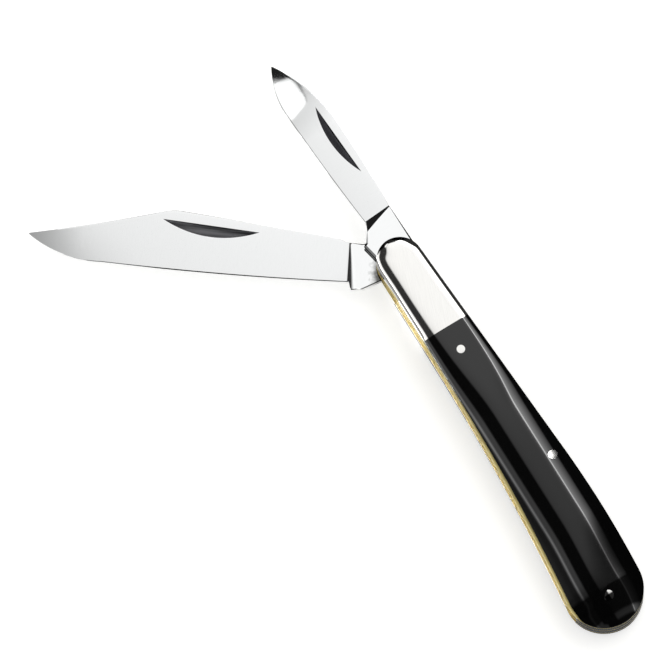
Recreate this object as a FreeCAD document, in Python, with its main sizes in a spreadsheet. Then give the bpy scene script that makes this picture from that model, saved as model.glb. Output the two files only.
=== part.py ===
import FreeCAD, Part
import Sketcher
import math
import operator
import os
from types import SimpleNamespace

# A two-blade slip-joint pocket knife that lies flat, its main blade part open and its pen blade open.
# Millimetres and degrees. The origin is on the surface that the knife lies on, under the pivot axis.
# +X runs from the pivot to the butt, +Y to the back where the springs are, +Z up through the layers.
# A blade has a frame of its own: +X from the pivot to the tip, +Y to the cutting edge, Z as above.

SIZES = {
    # Handle outline, from the pivot axis
    "nose_reach": 7.1,
    "nose_radius": 4.75,
    "nose_rise": 0.35,
    "butt_reach": 85.0,
    "butt_radius": 8.1,
    "back_slope": 3.6,
    "back_bend_radius": 210.0,
    "belly_bend_radius": 560.0,
    # Layers, from the rear cover up
    "cover_thickness": 3.0,
    "shoulder_radius": 2.6,
    "liner_thickness": 0.55,
    "main_layer": 2.1,
    "centre_liner_thickness": 0.4,
    "pen_layer": 1.9,
    "blade_side_play": 0.05,
    "bolster_line": 14.6,
    "bolster_joint_gap": 0.02,
    # Pins and rivets
    "pivot_pin_radius": 1.2,
    "pivot_play": 0.04,
    "pin_radius": 0.9,
    "pin_fit": 0.02,
    "pin_dome": 0.25,
    "scale_pin_x": 20.0,
    "scale_pin_y": 1.1,
    "spring_pin_lead": 28.4,
    "spring_pin_inset": 2.7,
    "butt_pin_past": 2.0,
    "butt_pin_drop": 0.2,
    "rivet_radius": 0.8,
    "rivet_depth": 1.8,
    "rivet_near_x": 5.0,
    "rivet_far_x": 11.0,
    "rivet_y": 0.5,
    # Back springs: the thin end, the waist about the spring pin and the block about the butt pin
    "spring_seat": 2.95,
    "spring_play": 0.05,
    "spring_tip_reach": 2.2,
    "spring_step_play": 0.1,
    "spring_flex_share": 0.54,
    "spring_waist_before_pin": 8.2,
    "spring_waist_past_pin": 13.8,
    "spring_waist_y": 3.6,
    "spring_throat_radius": 16.0,
    "spring_block_before": 0.1,
    "spring_block_drop": 0.6,
    "spring_block_past": 2.0,
    # Tangs
    "cam_radius": 3.55,
    "flat_front": 2.6,
    "kick_play": 0.03,
    # Main blade
    "main_rest_angle": 128.4,
    "main_closed_angle": 2.8,
    "main_length": 77.0,
    "main_tip_y": 0.1,
    "main_tang_top_x": 7.6,
    "main_tang_top_y": -5.9,
    "main_hollow_radius": 8.6,
    "main_spine_start_x": 13.9,
    "main_spine_start_y": -6.05,
    "main_spine_radius": 1500.0,
    "main_spine_end_x": 46.2,
    "main_spine_end_y": -7.97,
    "main_clip_radius": 10.0,
    "main_clip_start_x": 49.9,
    "main_clip_start_y": -7.49,
    "main_clip_hollow_radius": 380.0,
    "main_tip_radius": 23.5,
    "main_belly_start_x": -15.5,  # from the tip
    "main_belly_start_y": 4.27,
    "main_edge_radius": 630.0,
    "main_heel_x": 11.1,
    "main_heel_y": 2.52,
    "main_kick_x": 10.6,
    "main_notch_x": 4.1,
    "main_notch_y": 1.35,
    "main_grind_spine_x": 11.9,
    "main_grind_edge_x": 10.7,
    "main_grind_radius": 0.9,
    "main_nick_x": 40.3,
    "main_nick_y": -5.5,
    "main_nick_angle": -1.5,
    "main_nick_length": 19.5,
    "main_nick_width": 2.0,
    # Pen blade
    "pen_closed_angle": -0.6,
    "pen_length": 50.8,
    "pen_tip_y": -2.75,
    "pen_spine_start_x": 12.6,
    "pen_spine_start_y": -5.5,
    "pen_spine_radius": 220.0,
    "pen_spine_end_x": 35.5,
    "pen_spine_end_y": -7.05,
    "pen_point_radius": 33.0,
    "pen_tip_radius": 18.3,
    "pen_belly_start_x": 39.5,
    "pen_belly_start_y": 0.6,
    "pen_edge_radius": 480.0,
    "pen_heel_x": 13.2,
    "pen_heel_y": 0.35,
    "pen_heel_radius": 9.0,
    "pen_kick_front_x": 9.6,
    "pen_kick_front_y": 2.75,
    "pen_kick_x": 9.3,
    "pen_notch_x": 4.5,
    "pen_notch_y": 2.7,
    "pen_grind_spine_x": 12.7,
    "pen_grind_edge_x": 13.2,
    "pen_grind_radius": 4.0,
    "pen_nick_x": 30.5,
    "pen_nick_y": -5.1,
    "pen_nick_angle": -0.4,
    "pen_nick_length": 16.5,
    "pen_nick_width": 1.55,
    # Both blades
    "edge_thickness": 0.2,
    "nick_depth": 0.45,
    "grind_margin": 3.0,
}

LEFT = 1
RIGHT = -1
UP = FreeCAD.Vector(0, 0, 1)


class Size:
    """A length or an angle: its number, and the expression that gives it from the sheet's cells."""

    def __init__(self, text, number):
        self.text = text
        self.number = number

    def __add__(self, other):
        return join(self, "+", other, operator.add)

    def __sub__(self, other):
        return join(self, "-", other, operator.sub)

    def __mul__(self, other):
        return join(self, "*", other, operator.mul)

    def __truediv__(self, other):
        return join(self, "/", other, operator.truediv)

    def __pow__(self, other):
        return join(self, "^", other, operator.pow)

    def __neg__(self):
        return Size(f"(-1 * {self.text})", -self.number)


def join(first, sign, second, work):
    other = second if isinstance(second, Size) else Size(str(second), second)
    return Size(f"({first.text} {sign} {other.text})", work(first.number, other.number))


def sine(angle):
    return Size(f"sin({angle.text})", math.sin(math.radians(angle.number)))


def cosine(angle):
    return Size(f"cos({angle.text})", math.cos(math.radians(angle.number)))


def arc_sine(ratio):
    return Size(f"(asin({ratio.text}) / (1 deg))", math.degrees(math.asin(ratio.number)))


def arc_cosine(ratio):
    return Size(f"(acos({ratio.text}) / (1 deg))", math.degrees(math.acos(ratio.number)))


def arc_tangent(ratio):
    return Size(f"(atan({ratio.text}) / (1 deg))", math.degrees(math.atan(ratio.number)))


def root(amount):
    return Size(f"sqrt({amount.text})", math.sqrt(amount.number))


doc = FreeCAD.newDocument("pocket_knife")
dim = doc.addObject("Spreadsheet::Sheet", "Dim")
for row, (alias, number) in enumerate(SIZES.items(), start=1):
    dim.set(f"A{row}", alias)
    dim.set(f"B{row}", str(number))
    dim.setAlias(f"B{row}", alias)
doc.recompute()
D = SimpleNamespace(**{alias: Size(f"Dim.{alias}", number) for alias, number in SIZES.items()})

# Sizes that follow from the ones in the sheet
butt_x = D.butt_reach - D.butt_radius
nose_x = D.nose_radius - D.nose_reach
belly_y = D.nose_rise - D.nose_radius
back_line = D.nose_radius + D.nose_rise * cosine(D.back_slope) - nose_x * sine(D.back_slope)
main_z = D.cover_thickness + D.liner_thickness
centre_z = main_z + D.main_layer
pen_z = centre_z + D.centre_liner_thickness
front_liner_z = pen_z + D.pen_layer
front_z = front_liner_z + D.liner_thickness
top_z = front_z + D.cover_thickness
tang_flat = D.spring_seat - D.spring_play
full_open = -D.back_slope + 180
pin_hole = D.pin_radius + D.pin_fit
pivot_hole = D.pivot_pin_radius + D.pin_fit
rivet_hole = D.rivet_radius + D.pin_fit
rivet_places = {"near_rivet": D.rivet_near_x, "far_rivet": D.rivet_far_x}


def along_back(along, square):
    """The corner that lies so far along and square to the straight run of the back."""
    return (along * cosine(D.back_slope) - square * sine(D.back_slope),
            along * sine(D.back_slope) + square * cosine(D.back_slope))


spring_pin_along = butt_x - D.spring_pin_lead
spring_flex_end = spring_pin_along * D.spring_flex_share
pin_places = {
    "scale_pin": (D.scale_pin_x, D.scale_pin_y),
    "spring_pin": along_back(spring_pin_along, back_line - D.spring_pin_inset),
    "butt_pin": (butt_x + D.butt_pin_past, -D.butt_pin_drop),
}


def tie(thing, **sizes):
    """Binds properties of an object to sizes; a double underscore stands for a dot."""
    for name, size in sizes.items():
        thing.setExpression(name.replace("__", "."), size.text)


def turn(thing, axis, angle):
    """Turns an object about an axis through its base by an angle."""
    thing.Placement.Rotation = FreeCAD.Rotation(FreeCAD.Vector(*axis), angle.number)
    thing.setExpression("Placement.Rotation.Angle", f"{angle.text} * 1 deg")


def point(corner):
    return FreeCAD.Vector(*(size.number if isinstance(size, Size) else size for size in corner), 0)


def new_body(name):
    body = doc.addObject("PartDesign::Body", name)
    body.Label = name
    return body


def new_sketch(body, name, role="XY_Plane"):
    sketch = body.newObject("Sketcher::SketchObject", f"{body.Name}_{name}")
    plane = next(part for part in body.Origin.OriginFeatures if part.Role == role)
    sketch.AttachmentSupport = [(plane, "")]
    sketch.MapMode = "FlatFace"
    return sketch


def drive(sketch, size, kind, *where):
    """Adds a dimension that follows a size."""
    row = sketch.addConstraint(Sketcher.Constraint(kind, *where, size.number))
    sketch.setExpression(f"Constraints[{row}]", size.text)


def place(sketch, line, end, corner):
    """Fixes one end of a sketch line; a plain 0 in the corner puts it on the axis."""
    y_axis, x_axis = -2, -1
    for size, kind, axis in zip(corner, ("DistanceX", "DistanceY"), (y_axis, x_axis)):
        if isinstance(size, Size):
            drive(sketch, size, kind, line, end)
        else:
            sketch.addConstraint(Sketcher.Constraint("PointOnObject", line, end, axis))


def arc_about(centre, first, last):
    """The arc about a centre that runs anticlockwise from one point to another."""
    angles = [math.atan2(end.y - centre.y, end.x - centre.x) for end in (first, last)]
    return Part.ArcOfCircle(Part.Circle(centre, UP, (first - centre).Length), *angles)


def arc_between(start, end, radius, side):
    """The short arc of a radius from start to end that turns LEFT or RIGHT."""
    chord = end - start
    left = FreeCAD.Vector(-chord.y, chord.x, 0).normalize()
    centre = (start + end) / 2 + left * (side * math.sqrt(radius ** 2 - (chord.Length / 2) ** 2))
    return arc_about(centre, start, end) if side == LEFT else arc_about(centre, end, start)


def trace(sketch, runs):
    """Draws a closed outline.

    Each run is the corner it starts from, and for an arc also its radius and the way it turns. It
    ends where the next run starts.
    """
    starts = [point(run[0]) for run in runs]
    lines = []
    for number, run in enumerate(runs):
        start, end = starts[number], starts[(number + 1) % len(runs)]
        if len(run) > 1:
            corner, radius, side = run
            line = sketch.addGeometry(arc_between(start, end, radius.number, side))
            lines.append((line, 1, 2) if side == LEFT else (line, 2, 1))
        else:
            lines.append((sketch.addGeometry(Part.LineSegment(start, end)), 1, 2))
    for number, (line, first, last) in enumerate(lines):
        after, after_first, _ = lines[(number + 1) % len(lines)]
        sketch.addConstraint(Sketcher.Constraint("Coincident", line, last, after, after_first))
        place(sketch, line, first, runs[number][0])
        if len(runs[number]) > 1:
            drive(sketch, runs[number][1], "Radius", line)


def slope(sketch, line, angle):
    """Sets the slope of a line to the X axis."""
    row = sketch.addConstraint(Sketcher.Constraint("Angle", line, math.radians(angle.number)))
    sketch.setExpression(f"Constraints[{row}]", f"{angle.text} * 1 deg")


def back_bend():
    """Centre of the arc from the butt to the straight back, and its two tangent points."""
    lean = math.radians(D.back_slope.number)
    run = FreeCAD.Vector(math.cos(lean), math.sin(lean), 0)
    square = FreeCAD.Vector(-math.sin(lean), math.cos(lean), 0)
    butt = FreeCAD.Vector(butt_x.number, 0, 0)
    radius = D.back_bend_radius.number
    depth = back_line.number - radius
    reach = math.sqrt((radius - D.butt_radius.number) ** 2 - (butt.dot(square) - depth) ** 2)
    centre = square * depth + run * (butt.dot(run) - reach)
    return centre, centre + (butt - centre).normalize() * radius, centre + square * radius


def belly_bend():
    """Centre of the hollow arc from the butt to the straight belly, and its two tangent points."""
    butt = FreeCAD.Vector(butt_x.number, 0, 0)
    radius = D.belly_bend_radius.number
    depth = belly_y.number - radius
    reach = math.sqrt((radius + D.butt_radius.number) ** 2 - depth ** 2)
    centre = FreeCAD.Vector(butt.x - reach, depth, 0)
    return centre, centre + (butt - centre).normalize() * radius, centre + FreeCAD.Vector(0, radius, 0)


def handle_outline(sketch):
    """The outline that liners, bolsters and scales share: six runs, each tangent to the next."""
    lean = math.radians(D.back_slope.number)
    nose = point((nose_x, D.nose_rise))
    butt = point((butt_x, 0))
    nose_top = nose + FreeCAD.Vector(-math.sin(lean), math.cos(lean), 0) * D.nose_radius.number
    nose_bottom = point((nose_x, belly_y))
    back_centre, back_first, back_last = back_bend()
    belly_centre, belly_first, belly_last = belly_bend()
    nose_arc = sketch.addGeometry(arc_about(nose, nose_top, nose_bottom))
    belly = sketch.addGeometry(Part.LineSegment(nose_bottom, belly_last))
    belly_arc = sketch.addGeometry(arc_about(belly_centre, belly_first, belly_last))
    butt_arc = sketch.addGeometry(arc_about(butt, belly_first, back_first))
    back_arc = sketch.addGeometry(arc_about(back_centre, back_first, back_last))
    back = sketch.addGeometry(Part.LineSegment(nose_top, back_last))
    joints = ((nose_arc, 2, belly, 1), (belly, 2, belly_arc, 2), (belly_arc, 1, butt_arc, 1),
              (butt_arc, 2, back_arc, 1), (back_arc, 2, back, 2), (back, 1, nose_arc, 1))
    for joint in joints:
        sketch.addConstraint(Sketcher.Constraint("Tangent", *joint))
    sketch.addConstraint(Sketcher.Constraint("Horizontal", belly))
    slope(sketch, back, D.back_slope)
    place(sketch, nose_arc, 3, (nose_x, D.nose_rise))
    place(sketch, butt_arc, 3, (butt_x, 0))
    drive(sketch, D.nose_radius, "Radius", nose_arc)
    drive(sketch, D.butt_radius, "Radius", butt_arc)
    drive(sketch, D.back_bend_radius, "Radius", back_arc)
    drive(sketch, D.belly_bend_radius, "Radius", belly_arc)


def pad(body, sketch, length, up=True):
    feature = body.newObject("PartDesign::Pad", f"{body.Name}_pad")
    feature.Profile = sketch
    feature.Reversed = not up
    tie(feature, Length=length)
    doc.recompute()
    return feature


def pocket(body, sketch, name, depth=None, up=True):
    """Cuts a sketch out of a body, right through or to a depth, and checks that it cuts."""
    before = body.Shape.Volume
    feature = body.newObject("PartDesign::Pocket", f"{body.Name}_{name}")
    feature.Profile = sketch
    if depth is None:
        feature.Type = "ThroughAll"
        feature.SideType = "Symmetric"
    else:
        feature.Reversed = up
        tie(feature, Length=depth)
    doc.recompute()
    if body.Shape.Volume >= before:
        raise RuntimeError(f"{body.Label}: {name} cuts nothing")


def hole(body, name, centre, radius, depth=None, up=True):
    sketch = new_sketch(body, f"{name}_sketch")
    circle = sketch.addGeometry(Part.Circle(point(centre), UP, radius.number))
    place(sketch, circle, 3, centre)
    drive(sketch, radius, "Radius", circle)
    pocket(body, sketch, name, depth, up)


def pin_holes(body, *pins):
    """Drills a body for the pins named."""
    for pin in pins:
        hole(body, f"{pin}_hole", pin_places[pin], pin_hole)


def liner(name, z, thickness, outer):
    """A brass liner of the handle's outline; an outer one also takes its cover's pin and rivets."""
    body = new_body(name)
    sketch = new_sketch(body, "outline")
    handle_outline(sketch)
    pad(body, sketch, thickness)
    hole(body, "pivot_hole", (0, 0), pivot_hole)
    pin_holes(body, "spring_pin", "butt_pin")
    if outer:
        pin_holes(body, "scale_pin")
        for rivet, x in rivet_places.items():
            hole(body, f"{rivet}_hole", (x, D.rivet_y), rivet_hole)
    tie(body, Placement__Base__z=z)
    return body


def rounded_cover(name, up):
    """The whole cover of one side: the handle's outline with its outer edge rounded."""
    body = new_body(name)
    sketch = new_sketch(body, "outline")
    handle_outline(sketch)
    block = pad(body, sketch, D.cover_thickness, up)
    crown = D.cover_thickness.number if up else -D.cover_thickness.number
    rim = [f"Edge{number}" for number, edge in enumerate(block.Shape.Edges, start=1)
           if all(abs(vertex.Z - crown) < 1e-6 for vertex in edge.Vertexes)]
    shoulder = body.newObject("PartDesign::Fillet", f"{name}_shoulder")
    shoulder.Base = (block, rim)
    tie(shoulder, Radius=D.shoulder_radius)
    doc.recompute()
    return body


def cut_away(body, x_from, x_to):
    """Cuts a cover off between two places along the handle."""
    side = D.nose_radius + D.butt_radius * 2
    sketch = new_sketch(body, "joint_sketch")
    trace(sketch, [[(x_from, -side)], [(x_to, -side)], [(x_to, side)], [(x_from, side)]])
    pocket(body, sketch, "joint")


def bolster(name, z, up):
    body = rounded_cover(name, up)
    cut_away(body, D.bolster_line, D.butt_reach * 2)
    hole(body, "pivot_hole", (0, 0), pivot_hole)
    for rivet, x in rivet_places.items():
        hole(body, f"{rivet}_hole", (x, D.rivet_y), rivet_hole, D.rivet_depth, up)
    tie(body, Placement__Base__z=z)
    return body


def scale(name, z, up):
    body = rounded_cover(name, up)
    cut_away(body, -D.nose_reach * 2, D.bolster_line + D.bolster_joint_gap)
    pin_holes(body, "scale_pin", "spring_pin", "butt_pin")
    tie(body, Placement__Base__z=z)
    return body


def spring(name, z, thickness, lift=None):
    """A back spring; lift is how far its end is held up where it rides the round part of a tang."""
    length = spring_flex_end + D.spring_tip_reach
    depth = back_line - D.spring_seat
    tip_outer = along_back(-D.spring_tip_reach, back_line)
    tip_inner = along_back(-D.spring_tip_reach, D.spring_seat)
    if lift:
        bend = arc_sine(lift / length)
        tip_along = spring_flex_end - length * cosine(bend)
        tip_outer = along_back(tip_along, back_line + lift)
        tip_inner = along_back(tip_along - depth * sine(bend), back_line + lift - depth * cosine(bend))
    flex_outer = along_back(spring_flex_end, back_line)
    flex_inner = along_back(spring_flex_end, D.spring_seat)
    pin_x = pin_places["spring_pin"][0]
    waist_start = (pin_x - D.spring_waist_before_pin, D.spring_waist_y)
    waist_end = (pin_x + D.spring_waist_past_pin, D.spring_waist_y)
    block = (butt_x - D.spring_block_before, -D.spring_block_drop)
    block_end = (butt_x + D.spring_block_past, -root(D.butt_radius ** 2 - D.spring_block_past ** 2))
    back_centre, back_first, back_last = back_bend()
    runs = [Part.LineSegment(point(tip_outer), point(tip_inner)),
            Part.LineSegment(point(tip_inner), point(flex_inner)),
            Part.LineSegment(point(flex_inner), point(waist_start)),
            Part.LineSegment(point(waist_start), point(waist_end)),
            arc_between(point(block), point(waist_end), D.spring_throat_radius.number, LEFT),
            Part.LineSegment(point(block), point(block_end)),
            arc_about(point((butt_x, 0)), point(block_end), back_first),
            arc_about(back_centre, back_first, back_last),
            Part.LineSegment(point(flex_outer), back_last),
            Part.LineSegment(point(flex_outer), point(tip_outer))]
    body = new_body(name)
    sketch = new_sketch(body, "outline")
    tip, inner, swell, waist, throat, heel, butt_arc, back_arc, back, flex = sketch.addGeometry(runs)
    joints = ((tip, 2, inner, 1), (inner, 2, swell, 1), (swell, 2, waist, 1), (waist, 2, throat, 2),
              (throat, 1, heel, 1), (heel, 2, butt_arc, 1), (back, 1, flex, 1), (flex, 2, tip, 1))
    for joint in joints:
        sketch.addConstraint(Sketcher.Constraint("Coincident", *joint))
    sketch.addConstraint(Sketcher.Constraint("Tangent", butt_arc, 2, back_arc, 1))
    sketch.addConstraint(Sketcher.Constraint("Tangent", back_arc, 2, back, 2))
    starts = ((tip, tip_outer), (inner, tip_inner), (swell, flex_inner), (waist, waist_start),
              (heel, block), (flex, flex_outer))
    for line, corner in starts:
        place(sketch, line, 1, corner)
    place(sketch, waist, 2, waist_end)
    place(sketch, butt_arc, 3, (butt_x, 0))
    slope(sketch, back, D.back_slope)
    drive(sketch, block_end[0], "DistanceX", heel, 2)
    drive(sketch, D.spring_throat_radius, "Radius", throat)
    drive(sketch, D.butt_radius, "Radius", butt_arc)
    drive(sketch, D.back_bend_radius, "Radius", back_arc)
    pad(body, sketch, thickness)
    pin_holes(body, "spring_pin", "butt_pin")
    tie(body, Placement__Base__z=z)
    return body


def tang(kick_x, notch, closed):
    """Runs of a tang's outline from its kick round to the step that stops on the spring's end."""
    lean = D.back_slope + closed + 90
    wrap = lean + arc_cosine(tang_flat / D.cam_radius)
    step_x = D.spring_tip_reach + D.spring_step_play
    kick_y = (D.spring_seat - D.kick_play - kick_x * cosine(lean)) / sine(lean)
    flat_y = (tang_flat - D.flat_front * cosine(lean)) / sine(lean)
    cam_start = (D.cam_radius * cosine(wrap), D.cam_radius * sine(wrap))
    cam_end = (-root(D.cam_radius ** 2 - tang_flat ** 2), -tang_flat)
    return [[(kick_x, kick_y)],
            [notch],
            [(D.flat_front, flat_y)],
            [cam_start, D.cam_radius, LEFT],
            [cam_end],
            [(step_x, -tang_flat)],
            [(step_x, -back_line)]]


def main_outline():
    runs = tang(D.main_kick_x, (D.main_notch_x, D.main_notch_y), D.main_closed_angle)
    return runs + [
        [(D.main_tang_top_x, D.main_tang_top_y), D.main_hollow_radius, RIGHT],
        [(D.main_spine_start_x, D.main_spine_start_y), D.main_spine_radius, LEFT],
        [(D.main_spine_end_x, D.main_spine_end_y), D.main_clip_radius, LEFT],
        [(D.main_clip_start_x, D.main_clip_start_y), D.main_clip_hollow_radius, RIGHT],
        [(D.main_length, D.main_tip_y), D.main_tip_radius, LEFT],
        [(D.main_length + D.main_belly_start_x, D.main_belly_start_y), D.main_edge_radius, LEFT],
        [(D.main_heel_x, D.main_heel_y)]]


def pen_outline():
    runs = tang(D.pen_kick_x, (D.pen_notch_x, D.pen_notch_y), D.pen_closed_angle)
    return runs + [
        [(D.pen_spine_start_x, D.pen_spine_start_y), D.pen_spine_radius, LEFT],
        [(D.pen_spine_end_x, D.pen_spine_end_y), D.pen_point_radius, LEFT],
        [(D.pen_length, D.pen_tip_y), D.pen_tip_radius, LEFT],
        [(D.pen_belly_start_x, D.pen_belly_start_y), D.pen_edge_radius, LEFT],
        [(D.pen_heel_x, D.pen_heel_y), D.pen_heel_radius, RIGHT],
        [(D.pen_kick_front_x, D.pen_kick_front_y)]]


def blade(kind, outline, z, opening):
    """A blade: a flat blank with its pivot hole, ground to a wedge on both sides, with a nail nick."""
    own = {name: getattr(D, f"{kind}_{name}") for name in (
        "layer", "length", "spine_end_y", "belly_start_y", "grind_spine_x", "grind_edge_x",
        "grind_radius", "nick_x", "nick_y", "nick_angle", "nick_length", "nick_width")}
    size = SimpleNamespace(**own)
    thickness = size.layer - D.blade_side_play * 2
    height = size.belly_start_y - size.spine_end_y
    fall = (thickness - D.edge_thickness) / 2 / height
    blank = new_body(f"{kind}_blank")
    sketch = new_sketch(blank, "outline")
    trace(sketch, outline())
    pad(blank, sketch, thickness)
    hole(blank, "pivot_hole", (0, 0), D.pivot_pin_radius + D.pivot_play)

    # The lower face of the grind is the ground side of the blade, and its rounded end is the plunge.
    grind = new_body(f"{kind}_grind")
    sketch = new_sketch(grind, "outline")
    near = -D.grind_margin
    far = height + D.grind_margin
    end = size.length + D.grind_margin
    spine_end = size.grind_spine_x - size.grind_radius
    edge_end = size.grind_edge_x - size.grind_radius
    trace(sketch, [[(spine_end, near)], [(end, near)], [(end, far)], [(edge_end, far)]])
    block = pad(grind, sketch, size.grind_radius + D.grind_margin)
    reach = max(spine_end.number, edge_end.number)
    plunge = [f"Edge{number}" for number, edge in enumerate(block.Shape.Edges, start=1)
              if all(abs(vertex.Z) < 1e-6 and vertex.X < reach + 1e-6 for vertex in edge.Vertexes)]
    rounding = grind.newObject("PartDesign::Fillet", f"{kind}_plunge")
    rounding.Base = (block, plunge)
    tie(rounding, Radius=size.grind_radius)
    turn(grind, (-1, 0, 0), arc_tangent(fall))
    tie(grind, Placement__Base__y=size.spine_end_y, Placement__Base__z=thickness)
    far_grind = doc.addObject("Part::Mirroring", f"{kind}_far_grind")
    far_grind.Source = grind
    far_grind.Normal = UP
    tie(far_grind, Base__z=thickness / 2)

    # A wheel with a slanting rim cuts the nick: straight on the spine side, curved on the edge side.
    wheel = (size.nick_length ** 2 / 4 + D.nick_depth ** 2) / (D.nick_depth * 2)
    nick = doc.addObject("Part::Cone", f"{kind}_nick_wheel")
    nick.Placement.Rotation = FreeCAD.Rotation(size.nick_angle.number, 0, -90)
    nick.setExpression("Placement.Rotation.Yaw", f"{size.nick_angle.text} * 1 deg")
    nick_z = thickness - fall * (size.nick_y - size.spine_end_y) - D.nick_depth + wheel
    tie(nick, Radius1=wheel, Radius2=wheel - D.nick_depth * 2, Height=size.nick_width * 2,
        Placement__Base__x=size.nick_x, Placement__Base__y=size.nick_y, Placement__Base__z=nick_z)

    piece = blank
    for number, tool in enumerate((grind, far_grind, nick), start=1):
        cut = doc.addObject("Part::Cut", f"{kind}_cut_{number}")
        cut.Base = piece
        cut.Tool = tool
        piece = cut
    piece.Label = f"{kind}_blade"
    turn(piece, (0, 0, -1), opening)
    tie(piece, Placement__Base__z=z + D.blade_side_play)
    return piece


def plain_pin(name, centre, z, length, radius):
    pin = doc.addObject("Part::Cylinder", name)
    pin.Label = name
    tie(pin, Radius=radius, Height=length)
    if centre:
        tie(pin, Placement__Base__x=centre[0], Placement__Base__y=centre[1])
    if z:
        tie(pin, Placement__Base__z=z)
    return pin


def domed_pin(name, centre):
    """A pin through the whole handle whose spun heads are low domes."""
    body = new_body(name)
    sketch = new_sketch(body, "profile", "XZ_Plane")
    dome = (D.pin_radius ** 2 + D.pin_dome ** 2) / (D.pin_dome * 2)
    trace(sketch, [[(0, 0), dome, LEFT], [(D.pin_radius, D.pin_dome)],
                   [(D.pin_radius, top_z - D.pin_dome), dome, LEFT], [(0, top_z)]])
    turned = body.newObject("PartDesign::Revolution", f"{name}_turned")
    turned.Profile = sketch
    turned.ReferenceAxis = (sketch, ["V_Axis"])
    turned.Angle = 360
    tie(body, Placement__Base__x=centre[0], Placement__Base__y=centre[1])
    return body


def rivet_pair(name, z):
    pair = doc.addObject("Part::Compound", name)
    pair.Label = name
    length = D.rivet_depth + D.liner_thickness
    pair.Links = [plain_pin(f"{name}_{rivet}", (x, D.rivet_y), z, length, D.rivet_radius)
                  for rivet, x in rivet_places.items()]
    return pair


# The main spring's inner face clears the round part of the tang by the spring's play, at the pivot.
main_lift = ((D.cam_radius + D.spring_play - D.spring_seat) * (spring_flex_end + D.spring_tip_reach)
             / spring_flex_end)
pieces = [
    scale("front_scale", front_z, True),
    scale("rear_scale", D.cover_thickness, False),
    bolster("front_bolster", front_z, True),
    bolster("rear_bolster", D.cover_thickness, False),
    liner("front_liner", front_liner_z, D.liner_thickness, True),
    liner("rear_liner", D.cover_thickness, D.liner_thickness, True),
    liner("centre_liner", centre_z, D.centre_liner_thickness, False),
    spring("main_spring", main_z, D.main_layer, main_lift),
    spring("pen_spring", pen_z, D.pen_layer),
    blade("main", main_outline, main_z, D.main_rest_angle),
    blade("pen", pen_outline, pen_z, full_open),
    plain_pin("pivot_pin", None, None, top_z, D.pivot_pin_radius),
    domed_pin("spring_pin", pin_places["spring_pin"]),
    domed_pin("butt_pin", pin_places["butt_pin"]),
    plain_pin("front_scale_pin", pin_places["scale_pin"], front_liner_z, main_z, D.pin_radius),
    plain_pin("rear_scale_pin", pin_places["scale_pin"], None, main_z, D.pin_radius),
    rivet_pair("front_bolster_rivets", front_liner_z),
    rivet_pair("rear_bolster_rivets", D.cover_thickness - D.rivet_depth),
]
doc.recompute()

for thing in doc.Objects:
    if "Invalid" in thing.State or "Error" in thing.State:
        raise RuntimeError(f"{thing.Label} failed: {thing.State}")
for piece in pieces:
    if piece.Shape.isNull() or not piece.Shape.isValid() or not piece.Shape.Solids:
        raise RuntimeError(f"{piece.Label} has no valid solid")

os.makedirs("parts", exist_ok=True)
for piece in pieces:
    piece.Shape.exportStep(f"parts/{piece.Label}.step")
    box = piece.Shape.BoundBox
    print(f"{piece.Label}: {len(piece.Shape.Solids)} solid(s), {piece.Shape.Volume:.1f} mm3,"
          f" {box.XLength:.2f} x {box.YLength:.2f} x {box.ZLength:.2f} mm")
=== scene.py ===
"""A two-blade slip-joint pocket knife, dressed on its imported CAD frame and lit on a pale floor."""

import logging
import math
from collections.abc import Sequence
from dataclasses import dataclass, replace
from enum import Enum

import bmesh
import bpy
from bmesh.types import BMEdge, BMesh, BMFace, BMVert
from bpy.types import ID, Material, Mesh, Node, NodeSocket, NodeTree, Object
from mathutils import Matrix, Vector

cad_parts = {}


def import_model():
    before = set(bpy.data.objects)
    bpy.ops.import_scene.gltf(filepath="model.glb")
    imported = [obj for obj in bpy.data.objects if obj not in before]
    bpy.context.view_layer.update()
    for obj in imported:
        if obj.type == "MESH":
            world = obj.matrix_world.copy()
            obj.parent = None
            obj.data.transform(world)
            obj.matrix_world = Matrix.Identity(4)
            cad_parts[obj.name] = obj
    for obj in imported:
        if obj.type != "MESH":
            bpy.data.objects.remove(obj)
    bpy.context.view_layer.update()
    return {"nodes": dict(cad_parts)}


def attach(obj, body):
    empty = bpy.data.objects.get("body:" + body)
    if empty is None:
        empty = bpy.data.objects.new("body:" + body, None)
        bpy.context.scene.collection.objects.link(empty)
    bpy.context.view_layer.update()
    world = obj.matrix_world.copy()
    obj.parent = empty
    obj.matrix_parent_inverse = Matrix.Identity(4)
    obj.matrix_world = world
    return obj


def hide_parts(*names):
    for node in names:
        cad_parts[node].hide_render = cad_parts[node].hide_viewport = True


LOG = logging.getLogger("pocket_knife")
MM = 0.001
SAME_PLACE = 1e-7
WHITE = (1, 1, 1, 1)
Point = tuple[float, float]
Place = tuple[float, float, float]
Stops = tuple[Point, ...]
Heads = list[tuple[Vector, Vector, int]]

# How far each blade is turned at rest, clockwise from the handle's length, in degrees.
MAIN_TURN = 128.4
PEN_TURN = 176.4
# The tang that both blades share, in millimetres from the pivot.
TANG_FLAT = 2.9
TANG_BACK = 5.247
TANG_STEP = 2.3
TANG_END = 2.6
CAM_RADIUS = 3.55
KICK_LINE = 2.92


class Turn(Enum):
    """The way an outline's arc turns."""

    LEFT = 1
    RIGHT = -1


class Face(Enum):
    """The side of the knife that a cover is on."""

    FRONT = 1
    REAR = -1


def linear(code: str) -> tuple[float, float, float, float]:
    """Turns six sRGB hex digits into a linear colour with an alpha of 1."""
    parts = [int(code[at:at + 2], 16) / 255 for at in (0, 2, 4)]
    red, green, blue = (part / 12.92 if part <= 0.04045 else ((part + 0.055) / 1.055) ** 2.4
                        for part in parts)
    return red, green, blue, 1.0


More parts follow.
